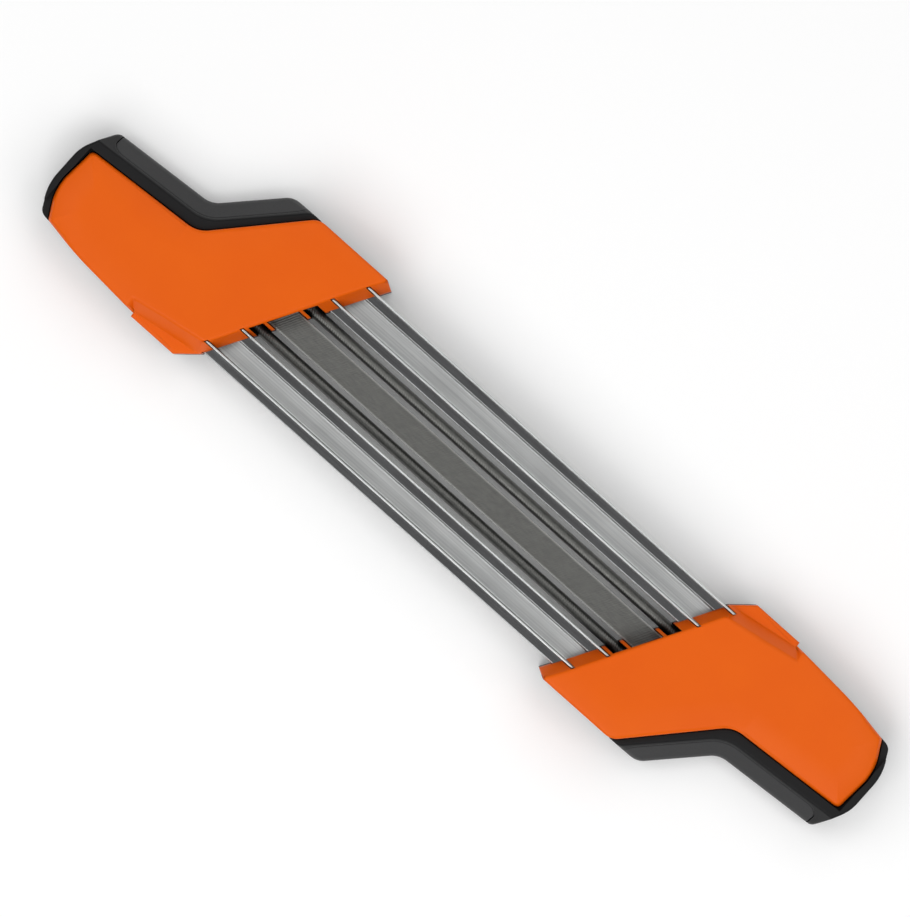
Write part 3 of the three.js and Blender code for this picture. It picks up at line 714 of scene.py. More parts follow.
@dataclass(frozen=True)
class Handle:
    """The outlines of a handle, and the cuts that its pieces share.

    The tables of shares give an outline's corners, counter-clockwise: each one's share of the
    way from the inner face's foot to the outer end, and its place along Y and its radius in
    half widths.
    """

    layout: Layout
    wall: float = 2.4
    floor: float = 2.4
    base_height: float = 12.0
    ledge_height: float = 19.0
    ledge_lean: float = 6.6
    ledge_round: float = 1.0
    ledge_rise_share: float = 0.6
    ledge_side_share: float = 0.7
    ledge_steps: int = 5
    belly_height: float = 8.0
    belly_round: float = 8.0
    belly_levels: tuple[float, float] = (4.0, 5.0)
    belly_steps: int = 6
    foot_round: float = 3.0
    foot_side: float = 2.25
    foot_belly: float = 3.6
    foot_steps: int = 8
    cover_top: float = 26.0
    cover_wall: float = 2.0
    side_drop: float = 1.6
    hinge_drop: float = 5.0
    hinge_drop_run: float = 14.0
    crown_reach: float = 11.5
    edge_reach: float = 1.4
    crown_steps: int = 8
    face_run: float = 3.8
    face_rise: float = 7.4
    corner_cut: float = 2.3
    tip_turn: float = 60.0
    heel_turn: float = -49.0
    pin_radius: float = 1.0
    barrel_radius: float = 4.6
    rim_wall: float = 2.4
    rim_drop: float = 3.4
    hinge_gap: float = 0.4
    hinge_margin: float = 3.0
    hinge_span: float = 15.0
    cheek_width: float = 3.0
    cheek_radius: float = 2.3
    hinge_skin: float = 0.6
    pad_length: float = 6.0
    pad_side: float = 10.4
    pad_top: float = 16.0
    grip_thickness: float = 2.2
    grip_foot: float = 2.6
    grip_top: float = 17.4
    grip_from_share: float = 0.215
    grip_to_share: float = 0.917
    grip_corner: float = 5.0
    grip_steps: int = 10
    hinge_bar_steps: int = 48
    long_bar_steps: int = 32
    arc_steps: int = 12
    least_round: float = 0.4
    arc_share: float = 0.48
    cutter_side: float = 50.0
    cutter_foot: float = -30.0
    cutter_top: float = 60.0
    cutter_reach: float = 240.0
    handle_shares: tuple[Place, ...] = (
        (-0.44, -0.971, 0), (0.306, -0.971, 0.2), (0.5145, -0.369, 0.25), (0.9355, -0.282, 0.073),
        (1, 0.09, 0.45), (1, 0.571, 0.8), (0.951, 0.829, 0.1), (0.751, 0.918, 4), (-0.44, 1.133, 0))
    cover_shares: tuple[Place, ...] = (
        (-0.4535, -0.971, 0), (0.181, -0.971, 0.18), (0.492, -0.064, 0.3), (0.989, 0.027, 0.064),
        (1.0035, 0.54, 0.87), (0.939, 0.843, 0.045), (0.7735, 0.918, 4), (-0.4535, 1.133, 0))
    belly_edges: tuple[int, int] = (1, 2)
    barrel_corners: tuple[int, int] = (3, 5)

    @property
    def pin_x(self) -> float:
        """The hinge axis along X."""
        return self.layout.end_x - self.rim_wall - self.hinge_gap - self.barrel_radius

    @property
    def pin_z(self) -> float:
        """The hinge axis's height."""
        return self.base_height + self.hinge_gap + self.barrel_radius

    @property
    def face_foot(self) -> float:
        """Where the inner face starts to slope."""
        return self.layout.rail_top + self.layout.gap

    @property
    def cover_foot(self) -> float:
        """The cover's lower edge."""
        return self.base_height + self.layout.gap

    @property
    def barrel(self) -> list[float]:
        """Both ends of the cover's barrel along Y, at its outline's corners."""
        return [self.cover_shares[corner][1] * self.layout.half_width for corner in self.barrel_corners]

    @property
    def hinge_low(self) -> float:
        """The hinge's end at the belly."""
        return self.barrel[0] + self.hinge_margin

    @property
    def hinge_high(self) -> float:
        """The hinge's other end."""
        return self.hinge_low + self.hinge_span

    @property
    def cheeks(self) -> list[tuple[float, float]]:
        """Each hinge cheek's two faces along Y."""
        low, high, width = self.hinge_low, self.hinge_high, self.cheek_width
        return [(low, low + width), (high - width, high)]

    def corners(self, shares: Sequence[Place], outer_x: float) -> list[Place]:
        """A table of shares in millimetres, for an outline that ends at outer_x."""
        foot, half = self.layout.foot_x, self.layout.half_width
        return [(foot + x * (outer_x - foot), y * half, r * half) for x, y, r in shares]

    def ring(self, corners: Sequence[Place], insets: Sequence[float],
             height: Callable[[float], float]) -> list[Place]:
        """An outline with each edge moved in by its own distance and its corners rounded.

        Args:
            corners: Each corner's place and radius, counter-clockwise.
            insets: How far the edge after each corner moves in.
            height: The ring's height at a place along X.

        Returns:
            The ring's points.
        """
        count = len(corners)
        spots = [Vector(corner[:2]) for corner in corners]
        along = [(spots[(i + 1) % count] - spots[i]).normalized() for i in range(count)]
        starts = [spots[i] + insets[i] * Vector((-along[i].y, along[i].x)) for i in range(count)]
        tips = []
        for i in range(count):
            before, after = along[i - 1], along[i]
            apart = starts[i] - starts[i - 1]
            tips.append(starts[i - 1] + before * (apart.cross(after) / before.cross(after)))
        points: list[Place] = []
        for i, (_, _, corner_radius) in enumerate(corners):
            tip, before = tips[i], along[i - 1]
            if corner_radius == 0:
                points.append((tip.x, tip.y, height(tip.x)))
                continue
            turn = before.cross(along[i])
            side, half = math.copysign(1.0, turn), abs(math.asin(turn)) / 2
            room = min((tip - tips[i - 1]).length, (tip - tips[(i + 1) % count]).length)
            inset = (insets[i - 1] + insets[i]) / 2
            widest = self.arc_share * room / math.tan(half)
            radius = min(max(corner_radius - side * inset, self.least_round), widest)
            start, across = tip - before * radius * math.tan(half), Vector((-before.y, before.x))
            centre = start + side * radius * across
            arm = side * radius * -across
            for k in range(self.arc_steps + 1):
                swing = 2 * side * half * k / self.arc_steps
                x = centre.x + arm.x * math.cos(swing) - arm.y * math.sin(swing)
                y = centre.y + arm.x * math.sin(swing) + arm.y * math.cos(swing)
                points.append((x, y, height(x)))
        return points

    def crest(self, x: float) -> float:
        """The crown's height at x: it falls evenly from the inner end to the hinge."""
        share = (x - self.layout.inner_x) / (self.pin_x - self.layout.inner_x)
        return self.cover_top + share * (self.pin_z + self.barrel_radius - self.cover_top)

    def crown_drop(self, x: float) -> float:
        """How far the crown falls to its edge at x: further over the hinge."""
        share = min(max((x - self.pin_x) / self.hinge_drop_run + 1, 0.0), 1.0)
        return self.side_drop + (self.hinge_drop - self.side_drop) * share * share * (3 - 2 * share)

    def cover_prism(self, inset: float, low: float, high: float) -> Solid:
        """A straight-sided body over the cover's outline.

        Args:
            inset: How far its sides are moved in.
            low: The height of its underside.
            high: The height of its top.

        Returns:
            The body.
        """
        corners = self.corners(self.cover_shares, self.pin_x + self.barrel_radius)
        insets = [inset] * len(corners)
        return Solid.loft([self.ring(corners, insets, lambda x, z=z: z) for z in (low, high)])

    def crown(self, skin: float, foot: float) -> Solid:
        """The crowned body over the cover's outline, moved in and down by skin.

        Args:
            skin: How far the body is moved in and down.
            foot: The height of its flat underside.

        Returns:
            The body, its top edge rounded and its crown a shallow arch.
        """
        corners = self.corners(self.cover_shares, self.pin_x + self.barrel_radius)
        edge, steps = self.edge_reach, self.crown_steps
        reaches = [edge * (1 - math.cos(angle)) for angle in quarter(steps)[:-1]]
        reaches += [edge + (self.crown_reach - edge) * k / steps for k in range(steps + 1)]
        rings = [self.ring(corners, [skin] * len(corners), lambda x: foot)]
        for reach in reaches:
            share = ((1 - reach / self.crown_reach) ** 2 + fallen(1 - reach / edge)) / 2
            rings.append(self.ring(corners, [skin + reach] * len(corners),
                                   lambda x, s=share: self.crest(x) - skin - s * self.crown_drop(x)))
        return Solid.loft(rings)

    def shell_levels(self) -> list[Place]:
        """The levels of the base's outside, from its foot up to its ledge.

        Returns:
            Each level's height, and how far its sides and its belly lie in there.
        """
        slope = self.ledge_lean / (self.ledge_height - self.belly_height)
        tilt = math.atan(slope)
        bend_start = self.belly_height - self.belly_round * math.tan(tilt / 2)
        foot = [self.foot_round * (1 - math.cos(angle)) for angle in quarter(self.foot_steps)]
        levels = [(z, self.foot_side * fallen(1 - z / self.foot_round),
                   self.foot_belly * fallen(1 - z / bend_start))
                  for z in (*foot, *self.belly_levels, bend_start)]
        for bend in (tilt * k / self.belly_steps for k in range(1, self.belly_steps + 1)):
            levels.append((bend_start + self.belly_round * math.sin(bend), 0.0,
                           self.belly_round * (1 - math.cos(bend))))
        shoulder = self.ledge_height - self.ledge_round
        lean = slope * (shoulder - self.belly_height)
        levels.append((shoulder, 0.0, lean))
        for bend in quarter(self.ledge_steps)[1:]:
            rise, side = self.ledge_round * math.sin(bend), self.ledge_round * (1 - math.cos(bend))
            belly = lean + slope * rise * self.ledge_rise_share + side * self.ledge_side_share
            levels.append((shoulder + rise, side, belly))
        return levels

    def shell(self, inset: float) -> Solid:
        """The outside of the base.

        Args:
            inset: How far it is moved in all round.

        Returns:
            The body.
        """
        corners = self.corners(self.handle_shares, self.layout.end_x)
        rings = []
        for z, side, belly in self.shell_levels():
            insets = [inset + (belly if i in self.belly_edges else side) for i in range(len(corners))]
            rings.append(self.ring(corners, insets, lambda x, z=z: z))
        return Solid.loft(rings)

    def before_face(self, depth: float, sloped: bool) -> Solid:
        """What lies in front of the inner face.

        Args:
            depth: How far the face is moved back into the handle.
            sloped: Whether it slopes above its foot, as the cover's does.

        Returns:
            The body.
        """
        low, high, reach = self.cutter_foot, self.cutter_top, self.cutter_reach
        tilt = math.radians(self.layout.filing_angle)
        lean = self.face_run / self.face_rise * (high - self.face_foot) if sloped else 0.0
        section = [(-reach, low), (depth, low), (depth, self.face_foot), (depth + lean, high),
                   (-reach, high)]

        def place(u: float, v: float, w: float) -> Place:
            """Puts a section point beside the inner face."""
            x = self.layout.foot_x + u * math.cos(tilt) - w * math.sin(tilt)
            return x, u * -math.sin(tilt) - w * math.cos(tilt), v

        return Solid.prism(section, place, -reach, reach)

    def beyond(self, x: float, y: float, turn: float, depth: float) -> Solid:
        """What lies outside an upright plane.

        Args:
            x: A place on the plane along X.
            y: The same place along Y.
            turn: The way into the handle, in degrees from +X.
            depth: How far the plane is moved that way.

        Returns:
            A large block with one face on the plane.
        """
        run = 2 * self.layout.end_x
        block = Solid.block((depth - run, depth), (-run / 2, run / 2), (-run / 2, run / 2))
        return block.moved(Matrix.Translation((x, y, 0)) @ Matrix.Rotation(math.radians(turn), 4, "Z"))

    def front(self, depth: float, sloped: bool) -> Solid:
        """What lies in front of the inner face and beyond its blunt corners.

        Args:
            depth: How far all of it is moved back into the handle.
            sloped: Whether the face slopes above its foot.

        Returns:
            The body.
        """
        lay = self.layout
        tip_y = self.handle_shares[0][1] * lay.half_width
        tip_x = lay.foot_x + tip_y * math.tan(math.radians(lay.filing_angle))
        cut = depth + self.corner_cut
        return self.before_face(depth, sloped).add(
            self.beyond(tip_x, tip_y, self.tip_turn, cut),
            self.beyond(2 * lay.foot_x - lay.inner_x, lay.half_width, self.heel_turn, cut))

    def slab(self, x: Sequence[float], top: float) -> Solid:
        """A block right across the handle, from the floor up to top."""
        return Solid.block(x, (-self.cutter_side, self.cutter_side), (0, top))

    def hinge_bar(self, radius: float, low: float, high: float) -> Solid:
        """A round bar along Y at the hinge axis."""
        return Solid.prism(circle(radius, self.hinge_bar_steps),
                           lambda u, v, w: (self.pin_x + u, -w, self.pin_z + v), -high, -low)

    def long_bar(self, radius: float, x: Sequence[float], y: float, z: float) -> Solid:
        """A round bar along X."""
        return Solid.prism(circle(radius, self.long_bar_steps),
                           lambda u, v, w: (w, y + u, z + v), x[0], x[1])

    def file_grooves(self, x: Sequence[float], top: float) -> list[Solid]:
        """Grooves for the three files, open upwards.

        Args:
            x: Where the grooves start and end.
            top: How far up they are open.

        Returns:
            The bodies to cut.
        """
        lay = self.layout
        half, flat = lay.round_radius + lay.gap, lay.flat_width / 2 + lay.gap
        grooves = [Solid.block(x, (-flat, flat), (lay.flat_z - lay.gap, top))]
        for y in (-lay.round_y, lay.round_y):
            grooves.append(self.long_bar(half, x, y, lay.round_z))
            grooves.append(Solid.block(x, (y - half, y + half), (lay.round_z, top)))
        return grooves

    def rail_room(self, top: float) -> list[Solid]:
        """Room for the ends of both rails.

        Args:
            top: How far up it is open.

        Returns:
            The bodies to cut.
        """
        lay = self.layout
        low = lay.rail_level - lay.gap
        near, far = lay.rail_inner - lay.gap, lay.rail_outer + lay.gap
        return [Solid.block((0, lay.rail_long_end), (near, far), (low, top)),
                Solid.block((0, lay.rail_short_end), (-far, -near), (low, top))]

    def grip_belt(self, grow: float) -> Solid:
        """An upright rounded plate on the grip's outline.

        Args:
            grow: How far it is grown all round.

        Returns:
            The plate, reaching out past the belly.
        """
        lay, r = self.layout, self.grip_corner + grow
        x0 = lay.foot_x + self.grip_from_share * lay.handle_length - grow + r
        x1 = lay.foot_x + self.grip_to_share * lay.handle_length + grow - r
        z0, z1 = self.grip_foot - grow + r, self.grip_top + grow - r
        section = []
        for centre, start in (((x1, z0), -90), ((x1, z1), 0), ((x0, z1), 90), ((x0, z0), 180)):
            section += arc(centre, r, start, start + 90, self.grip_steps)
        return Solid.prism(section, lambda u, v, w: (u, -w, v), 0.0, 2 * lay.half_width)


# Pieces


@dataclass
class Piece:
    """What each handle has, drawn for handle b."""

    handle: Handle
    finishes: Sequence[bpy.types.Material]

    node: ClassVar[str]
    slot: ClassVar[str]
    on_lid: ClassVar[bool] = False

    @property
    def layout(self) -> Layout:
        """The places that several pieces share."""
        return self.handle.layout

    def dress(self, solid: Solid, side: Side) -> None:
        """Shows the piece on one handle.

        Args:
            solid: The piece's body.
            side: The handle.
        """
        body = f"lid_{side.value}" if self.on_lid else "frame"
        show(f"{self.node}_{side.value}", solid, self.finishes, body, self.slot, side)


@dataclass
class Base(Piece):
    """The black lower shell of a handle."""

    bed_rise: float = 0.2
    stop_thickness: float = 2.8
    flat_tang: float = 6.4
    round_tang: float = 1.3
    tang_room: float = 21.6
    pin_fit: float = 0.1
    pin_spare: float = 1.0
    hole_steps: int = 24

    node: ClassVar[str] = "base"
    slot: ClassVar[str] = "black_shell"

    @property
    def stop_x(self) -> float:
        """Where the stop meets the files' ends."""
        return self.layout.file_length / 2 + self.layout.gap

    def hinge_groove(self) -> Solid:
        """Room for the cover's barrel, in front of a rim at the outer end.

        Returns:
            The body to cut.
        """
        h, (low, high) = self.handle, self.handle.barrel
        groove = h.hinge_bar(h.barrel_radius + h.hinge_gap, low - h.hinge_gap, high + h.hinge_gap)
        return groove.cut(h.slab((0, 2 * h.layout.end_x), h.ledge_height - h.rim_drop))

    def tub(self) -> Solid:
        """The room inside the shell's walls, up to the block that carries the hinge.

        Returns:
            The body to cut.
        """
        h, end = self.handle, 2 * self.layout.end_x
        block = h.slab((h.pin_x - h.barrel_radius - h.wall, end), h.cover_top)
        return h.cover_prism(h.wall, h.floor, h.cover_top).cut(block, h.front(h.wall, False))

    def seats(self) -> list[Solid]:
        """The bed under the files, the stop at their ends and the seats of both rails.

        Returns:
            The bodies to add.
        """
        h, lay, stop = self.handle, self.layout, self.stop_x
        inner, outer = lay.rail_inner, lay.rail_outer
        bed, seat = h.floor / 2, lay.rail_level - lay.gap
        return [Solid.block((0, stop), (-inner, inner), (bed, lay.rail_level + self.bed_rise)),
                Solid.block((stop, stop + self.stop_thickness), (-inner, inner), (bed, h.base_height)),
                Solid.block((0, lay.rail_long_end), (inner, outer), (bed, seat)),
                Solid.block((0, lay.rail_short_end), (-outer, -inner), (bed, seat))]

    def tang_bays(self) -> list[Solid]:
        """Room for the tangs of the flat file and of a round file.

        Returns:
            The bodies to cut.
        """
        h, lay = self.handle, self.layout
        x = (self.stop_x - lay.gap, lay.file_length / 2 + self.tang_room)
        flat, loose = self.flat_tang / 2 + lay.gap, self.round_tang + 2 * lay.gap
        return [Solid.block(x, (-flat, flat), (lay.flat_z - lay.gap, h.cover_top)),
                h.long_bar(loose, x, lay.round_y, lay.round_z),
                Solid.block(x, (lay.round_y - loose, lay.round_y + loose), (lay.round_z, h.cover_top))]

    def body(self) -> Solid:
        """Builds the shell with its tub, file beds, stops, rail seats and hinge cheeks.

        Returns:
            The shell.
        """
        h, lay = self.handle, self.layout
        belt = h.grip_belt(0.0).cut(h.shell(h.grip_thickness))
        base = h.shell(0.0).cut(belt, h.cover_prism(-h.hinge_gap, h.base_height, h.cover_top))
        base = base.cut(self.hinge_groove(), self.tub()).add(*self.seats())
        base = base.cut(*h.file_grooves((0, self.stop_x), h.cover_top), *h.rail_room(h.cover_top),
                        *self.tang_bays())
        for low, high in h.cheeks:
            base = base.add(h.hinge_bar(h.cheek_radius, low, high),
                            Solid.block((h.pin_x - h.cheek_radius, h.pin_x), (low, high),
                                        (h.base_height - lay.gap, h.pin_z)))
        pin = h.hinge_bar(h.pin_radius + self.pin_fit, h.hinge_low - self.pin_spare,
                          h.hinge_high + self.pin_spare)
        hole = Solid.turned([(lay.screw_radius, z) for z in (h.floor, lay.rail_level)], self.hole_steps)
        holes = [hole.moved(Matrix.Translation((x, y, 0))) for x, y in lay.screw_places]
        return base.cut(pin, *holes, h.front(0.0, False)).merged()


@dataclass
class Cover(Piece):
    """The orange lid of a handle."""

    lip_length: float = 43.2
    lip_reach: float = 0.4
    lip_height: float = 5.3
    lip_near: float = 8.0
    lip_far: float = 1.5
    lip_lean: float = 5.4
    front_round: float = 0.9
    round_steps: int = 4
    least_angle: float = 25.0
    edge_margin: float = 1.0
    barrel_cut: float = 30.0

    node: ClassVar[str] = "cover"
    slot: ClassVar[str] = "orange_cover"
    on_lid: ClassVar[bool] = True

    def lip_wedge(self, grow: Sequence[float], z: Sequence[float]) -> Solid:
        """A wedge over the thumb lip.

        Args:
            grow: How far it is grown towards the cover's middle, at its foot and at its top.
            z: The heights of its foot and its top.

        Returns:
            The wedge, open to the straight side.
        """
        x0, half = self.layout.foot_x, self.layout.half_width
        x1 = x0 + self.lip_length
        return Solid.loft([[(x0, half - self.lip_near - g, h), (x1 + g, half - self.lip_far - g, h),
                            (x1 + g, 2 * half, h), (x0, 2 * half, h)] for g, h in zip(grow, z)])

    def body(self) -> Solid:
        """Builds the lid with its crown, sloped inner face, thumb lip, barrel and openings.

        Returns:
            The lid, still without the slots over the fins.
        """
        h, lay = self.handle, self.layout
        lip_z = (h.cover_foot, h.cover_foot + self.lip_height)
        leaning = self.lip_wedge((0.0, self.lip_lean), (lip_z[1], h.cover_top))
        lip = Solid.block((lay.foot_x, lay.foot_x + self.lip_length),
                          (0, lay.half_width + self.lip_reach), lip_z)
        lip = lip.within(self.lip_wedge((0.0, 0.0), lip_z))
        barrel = h.hinge_bar(h.barrel_radius, -h.cutter_side, h.cutter_side)
        behind = h.slab((h.pin_x, h.pin_x + self.barrel_cut), h.cover_top).cut(barrel)
        outside = h.crown(0.0, h.cover_foot).cut(leaning).add(lip)
        outside = outside.cut(behind, h.front(0.0, True)).merged()
        outside = outside.softened(self.front_round, self.round_steps, self.least_angle, self.is_outer)
        return outside.cut(*self.hollows()).merged()

    def is_outer(self, edge: bmesh.types.BMEdge) -> bool:
        """Whether an edge is on the lid's outside, clear of its lower rim and its barrel.

        Args:
            edge: The edge.

        Returns:
            Whether it is.
        """
        low = min(v.co.z for v in edge.verts) - self.handle.cover_foot
        far = self.handle.pin_x - max(v.co.x for v in edge.verts)
        return edge.is_convex and low > self.edge_margin and far > self.edge_margin

    def hollows(self) -> list[Solid]:
        """What the lid leaves open: its inside, the hinge's cheeks, the rails and the files.

        Returns:
            The bodies to cut.
        """
        h, lay = self.handle, self.layout
        foot = h.cover_foot - h.wall
        pad_x = lay.file_length / 2 - lay.gap - h.pad_length
        inside = h.crown(h.cover_wall, foot).cut(
            h.front(h.cover_wall, True),
            self.lip_wedge((h.cover_wall, h.cover_wall + self.lip_lean), (foot, h.cover_top)),
            h.hinge_bar(h.barrel_radius, h.cheeks[0][1] + h.hinge_gap, h.cheeks[1][0] - h.hinge_gap),
            Solid.block((pad_x, pad_x + h.pad_length), (-h.pad_side, h.pad_side),
                        (h.pad_top + lay.gap, h.cover_top)))
        swing = h.cheek_radius + lay.gap
        cuts = [inside, h.hinge_bar(h.pin_radius + lay.gap, h.hinge_low, h.hinge_high)]
        for low, high in h.cheeks:
            sides = (low - h.hinge_gap, high + h.hinge_gap)
            cuts.append(h.hinge_bar(swing, *sides))
            cuts.append(Solid.block((h.pin_x - swing, h.pin_x + 2 * h.barrel_radius), sides,
                                    (0, h.pin_z + h.hinge_skin)))
        return (cuts + h.rail_room(h.face_foot)
                + h.file_grooves((0, pad_x - lay.gap), h.cover_top - h.cover_wall))

    def slots(self, side: Side) -> list[Solid]:
        """The slots over the rails' fins, cut in the sloped face up to its crest.

        Args:
            side: The handle: the fins stand on the +Y edges at both.

        Returns:
            The bodies to cut.
        """
        h, lay = self.handle, self.layout
        front = h.before_face(h.face_run, False)
        slots = []
        for y0, y1 in lay.fins(Side.A) + lay.fins(Side.B):
            low, high = (y0, y1) if side is Side.B else (-y1, -y0)
            slots.append(Solid.block((0, lay.rail_long_end), (low - lay.gap, high + lay.gap),
                                     (0, h.cover_top)).within(front))
        return slots

    def dress(self, solid: Solid, side: Side) -> None:
        """Cuts the slots for one handle and shows the lid there."""
        super().dress(solid.cut(*self.slots(side)).merged(), side)


@dataclass
class Grip(Piece):
    """The soft pad let into the belly side of the base."""

    edge: float = 0.5
    edge_steps: int = 3
    least_angle: float = 50.0

    node: ClassVar[str] = "grip"
    slot: ClassVar[str] = "soft_grip"

    def body(self) -> Solid:
        """Builds the pad.

        Returns:
            The pad.
        """
        h, gap = self.handle, self.layout.gap
        pad = h.shell(0.0).within(h.grip_belt(-gap)).cut(h.shell(h.grip_thickness - gap))
        return pad.merged().softened(self.edge, self.edge_steps, self.least_angle)


@dataclass
class ClampPad(Piece):
    """The elastic pad under the cover that holds the files down."""

    edge: float = 0.35
    edge_steps: int = 3

    node: ClassVar[str] = "clamp_pad"
    slot: ClassVar[str] = "clamp_rubber"
    on_lid: ClassVar[bool] = True

    def body(self) -> Solid:
        """Builds the pad.

        Returns:
            The pad.
        """
        lay, side, top = self.layout, self.handle.pad_side, self.handle.pad_top
        flat_top = lay.flat_z + lay.flat_thickness + lay.gap
        round_top = lay.round_z + lay.round_radius + lay.gap
        inner = lay.round_y - lay.round_radius
        section = [(-side, top), (-side, round_top), (-inner, round_top), (-inner, flat_top),
                   (inner, flat_top), (inner, round_top), (side, round_top), (side, top)]
        end = lay.file_length / 2 - lay.gap
        pad = Solid.prism(section, lambda u, v, w: (w, u, v), end - self.handle.pad_length, end)
        return pad.softened(self.edge, self.edge_steps)


@dataclass
class HingePin(Piece):
    """The steel pin that carries the cover."""

    chamfer: float = 0.3

    node: ClassVar[str] = "hinge_pin"
    slot: ClassVar[str] = "plated_steel"

    def body(self) -> Solid:
        """Builds the pin with its chamfered ends.

        Returns:
            The pin.
        """
        h, c = self.handle, self.chamfer
        r, half = h.pin_radius, h.hinge_span / 2
        pin = Solid.turned([(r - c, -half), (r, c - half), (r, half - c), (r - c, half)])
        place = Matrix.Translation((h.pin_x, (h.hinge_low + h.hinge_high) / 2, h.pin_z))
        return pin.moved(place @ Matrix.Rotation(math.pi / 2, 4, "X"))


@dataclass
class RailScrew(Piece):
    """A pan head screw with a cross recess, its thread cut as a helix."""

    length: float = 8.6
    tip_radius: float = 0.4
    pitch: float = 1.1
    thread: float = 0.35
    head_radius: float = 3.1
    head_height: float = 2.2
    head_edge: float = 0.1
    dome_share: float = 0.55
    recess_share: float = 0.55
    recess_width: float = 0.9
    recess_depth: float = 1.3
    shank_steps: int = 24
    head_steps: int = 40
    dome_steps: int = 8

    node: ClassVar[str] = "rail_screw"
    slot: ClassVar[str] = "plated_steel"

    def shank(self) -> Solid:
        """Builds the shank: every second row of points lies in the thread's root.

        Returns:
            The shank, its top at the origin.
        """
        radius, low = self.layout.screw_radius, -self.length
        rings = []
        for row in range(-2, int(2 * self.length / self.pitch) + 2):
            ring = []
            for share in (k / self.shank_steps for k in range(self.shank_steps)):
                z = min(max(low + (row / 2 + share) * self.pitch, low), 0.0)
                wide = radius - (self.thread if row % 2 else 0.0)
                wide = min(wide, self.tip_radius + z - low)
                angle = 2 * math.pi * share
                ring.append((wide * math.cos(angle), wide * math.sin(angle), z))
            rings.append(ring)
        return Solid.loft(rings)

    def body(self) -> Solid:
        """Builds the screw.

        Returns:
            The screw, the underside of its head at the origin.
        """
        r, height, rim = self.head_radius, self.head_height, self.head_edge
        dome = [(r * math.cos(angle), height * (1 - self.dome_share + self.dome_share * math.sin(angle)))
                for angle in quarter(self.dome_steps)[:-1]]
        arm, half = self.recess_share * r, self.recess_width / 2
        depth = (height - self.recess_depth, 2 * height)
        head = Solid.turned([(r - rim, 0.0), (r, rim)] + dome, self.head_steps)
        head = head.cut(Solid.block((-arm, arm), (-half, half), depth),
                        Solid.block((-half, half), (-arm, arm), depth))
        screw = self.shank()
        with screw.edited() as shape:
            shape.from_mesh(head.mesh)
        return screw

    def dress(self, solid: Solid, side: Side) -> None:
        """Shows the four screws of one handle.

        Args:
            solid: The screw.
            side: The handle.
        """
        height = self.layout.web_top + self.layout.gap
        for i, (x, y) in enumerate(self.layout.screw_places, 1):
            show(f"{self.node}_{side.value}{i}", solid.moved(Matrix.Translation((x, y, height))),
                 self.finishes, "frame", self.slot, side)


@dataclass
class Rail:
    """A guide rail: a flat running face, a web, two ribs and a thin fin on each rib.

    Its first material is the web's and its second, which paints shade, that of the ribs' tops.
    """

    handle: Handle
    finishes: Sequence[bpy.types.Material]
    edge: float = 0.45
    fillet: float = 0.5
    fin_edge: float = 0.2
    edge_steps: int = 4
    drill_steps: int = 32
    drill_top: float = 30.0
    top_reach: float = 0.1
    upward: float = 0.9
    sharp: float = 60.0

    def corner(self, y: float, z: float, radius: float, start: float, end: float) -> Section:
        """A rounded corner between two angles in degrees."""
        return arc((y, z), radius, start, end, self.edge_steps)

    def section(self) -> Section:
        """The rail's section without its fins.

        Returns:
            The section's corners, rounded.
        """
        lay, e, f = self.handle.layout, self.edge, self.fillet
        half, top, inner = lay.rail_width / 2, lay.rail_height, lay.rail_width / 2 - lay.rib_width
        right = (self.corner(half - e, e, e, -90, 0) + self.corner(half - e, top - e, e, 0, 90)
                 + self.corner(inner + e, top - e, e, 90, 180)
                 + self.corner(inner - f, lay.web_thickness + f, f, 360, 270))
        return right + [(-y, z) for y, z in reversed(right)]

    def fin(self, low: float, high: float) -> Solid:
        """A fin, its ends cut slanting like the handles' faces.

        Args:
            low: Its face towards -Y.
            high: Its face towards +Y.

        Returns:
            The fin.
        """
        h, lay, e = self.handle, self.handle.layout, self.fin_edge
        foot, top = lay.rail_top - 2 * self.edge, lay.fin_top - e
        section = ([(low, foot), (high, foot)] + self.corner(high - e, top, e, 0, 90)
                   + self.corner(low + e, top, e, 90, 180))
        fin = Solid.prism(section, lambda u, v, w: (w, u, v), -lay.rail_short_end, lay.rail_long_end)
        front = h.before_face(h.face_run - lay.gap, False)
        return fin.within(front, front.moved(Side.A.turn))

    def body(self, rail: Side) -> Solid:
        """Builds one rail as if on the +Y side, with its screw holes and fins.

        Args:
            rail: The side of the centre line that it goes to: the left one is shown turned.

        Returns:
            The rail, its ribs' flat tops set to the second material, their painted shade.
        """
        lay, middle = self.handle.layout, self.handle.layout.rail_middle
        start, end = lay.gap - lay.rail_short_end, lay.rail_long_end - lay.gap
        bar = Solid.prism(self.section(), lambda u, v, w: (w, middle + u, lay.rail_level + v),
                          start, end)
        drill = lay.screw_radius + lay.gap
        hole = Solid.turned([(drill, 0), (drill, self.drill_top)], self.drill_steps)
        for x, y in lay.screw_places:
            bar = bar.cut(hole.moved(Matrix.Translation((x if y > 0 else -x, middle, 0))))
        for low, high in lay.fins(rail):
            bar = bar.add(self.fin(low, high) if rail is Side.B else self.fin(-high, -low))
        # The ribs' flat tops take the second material: painted shade.
        for face in bar.mesh.polygons:
            on_top = abs(face.center.z - lay.rail_top) < self.top_reach
            face.material_index = int(face.normal.z > self.upward and on_top)
        return bar

    def dress(self, solid: Solid, name: str, side: Side) -> None:
        """Shows the rail on one side."""
        show(name, solid, self.finishes, "frame", "rail_aluminium", side, self.sharp)


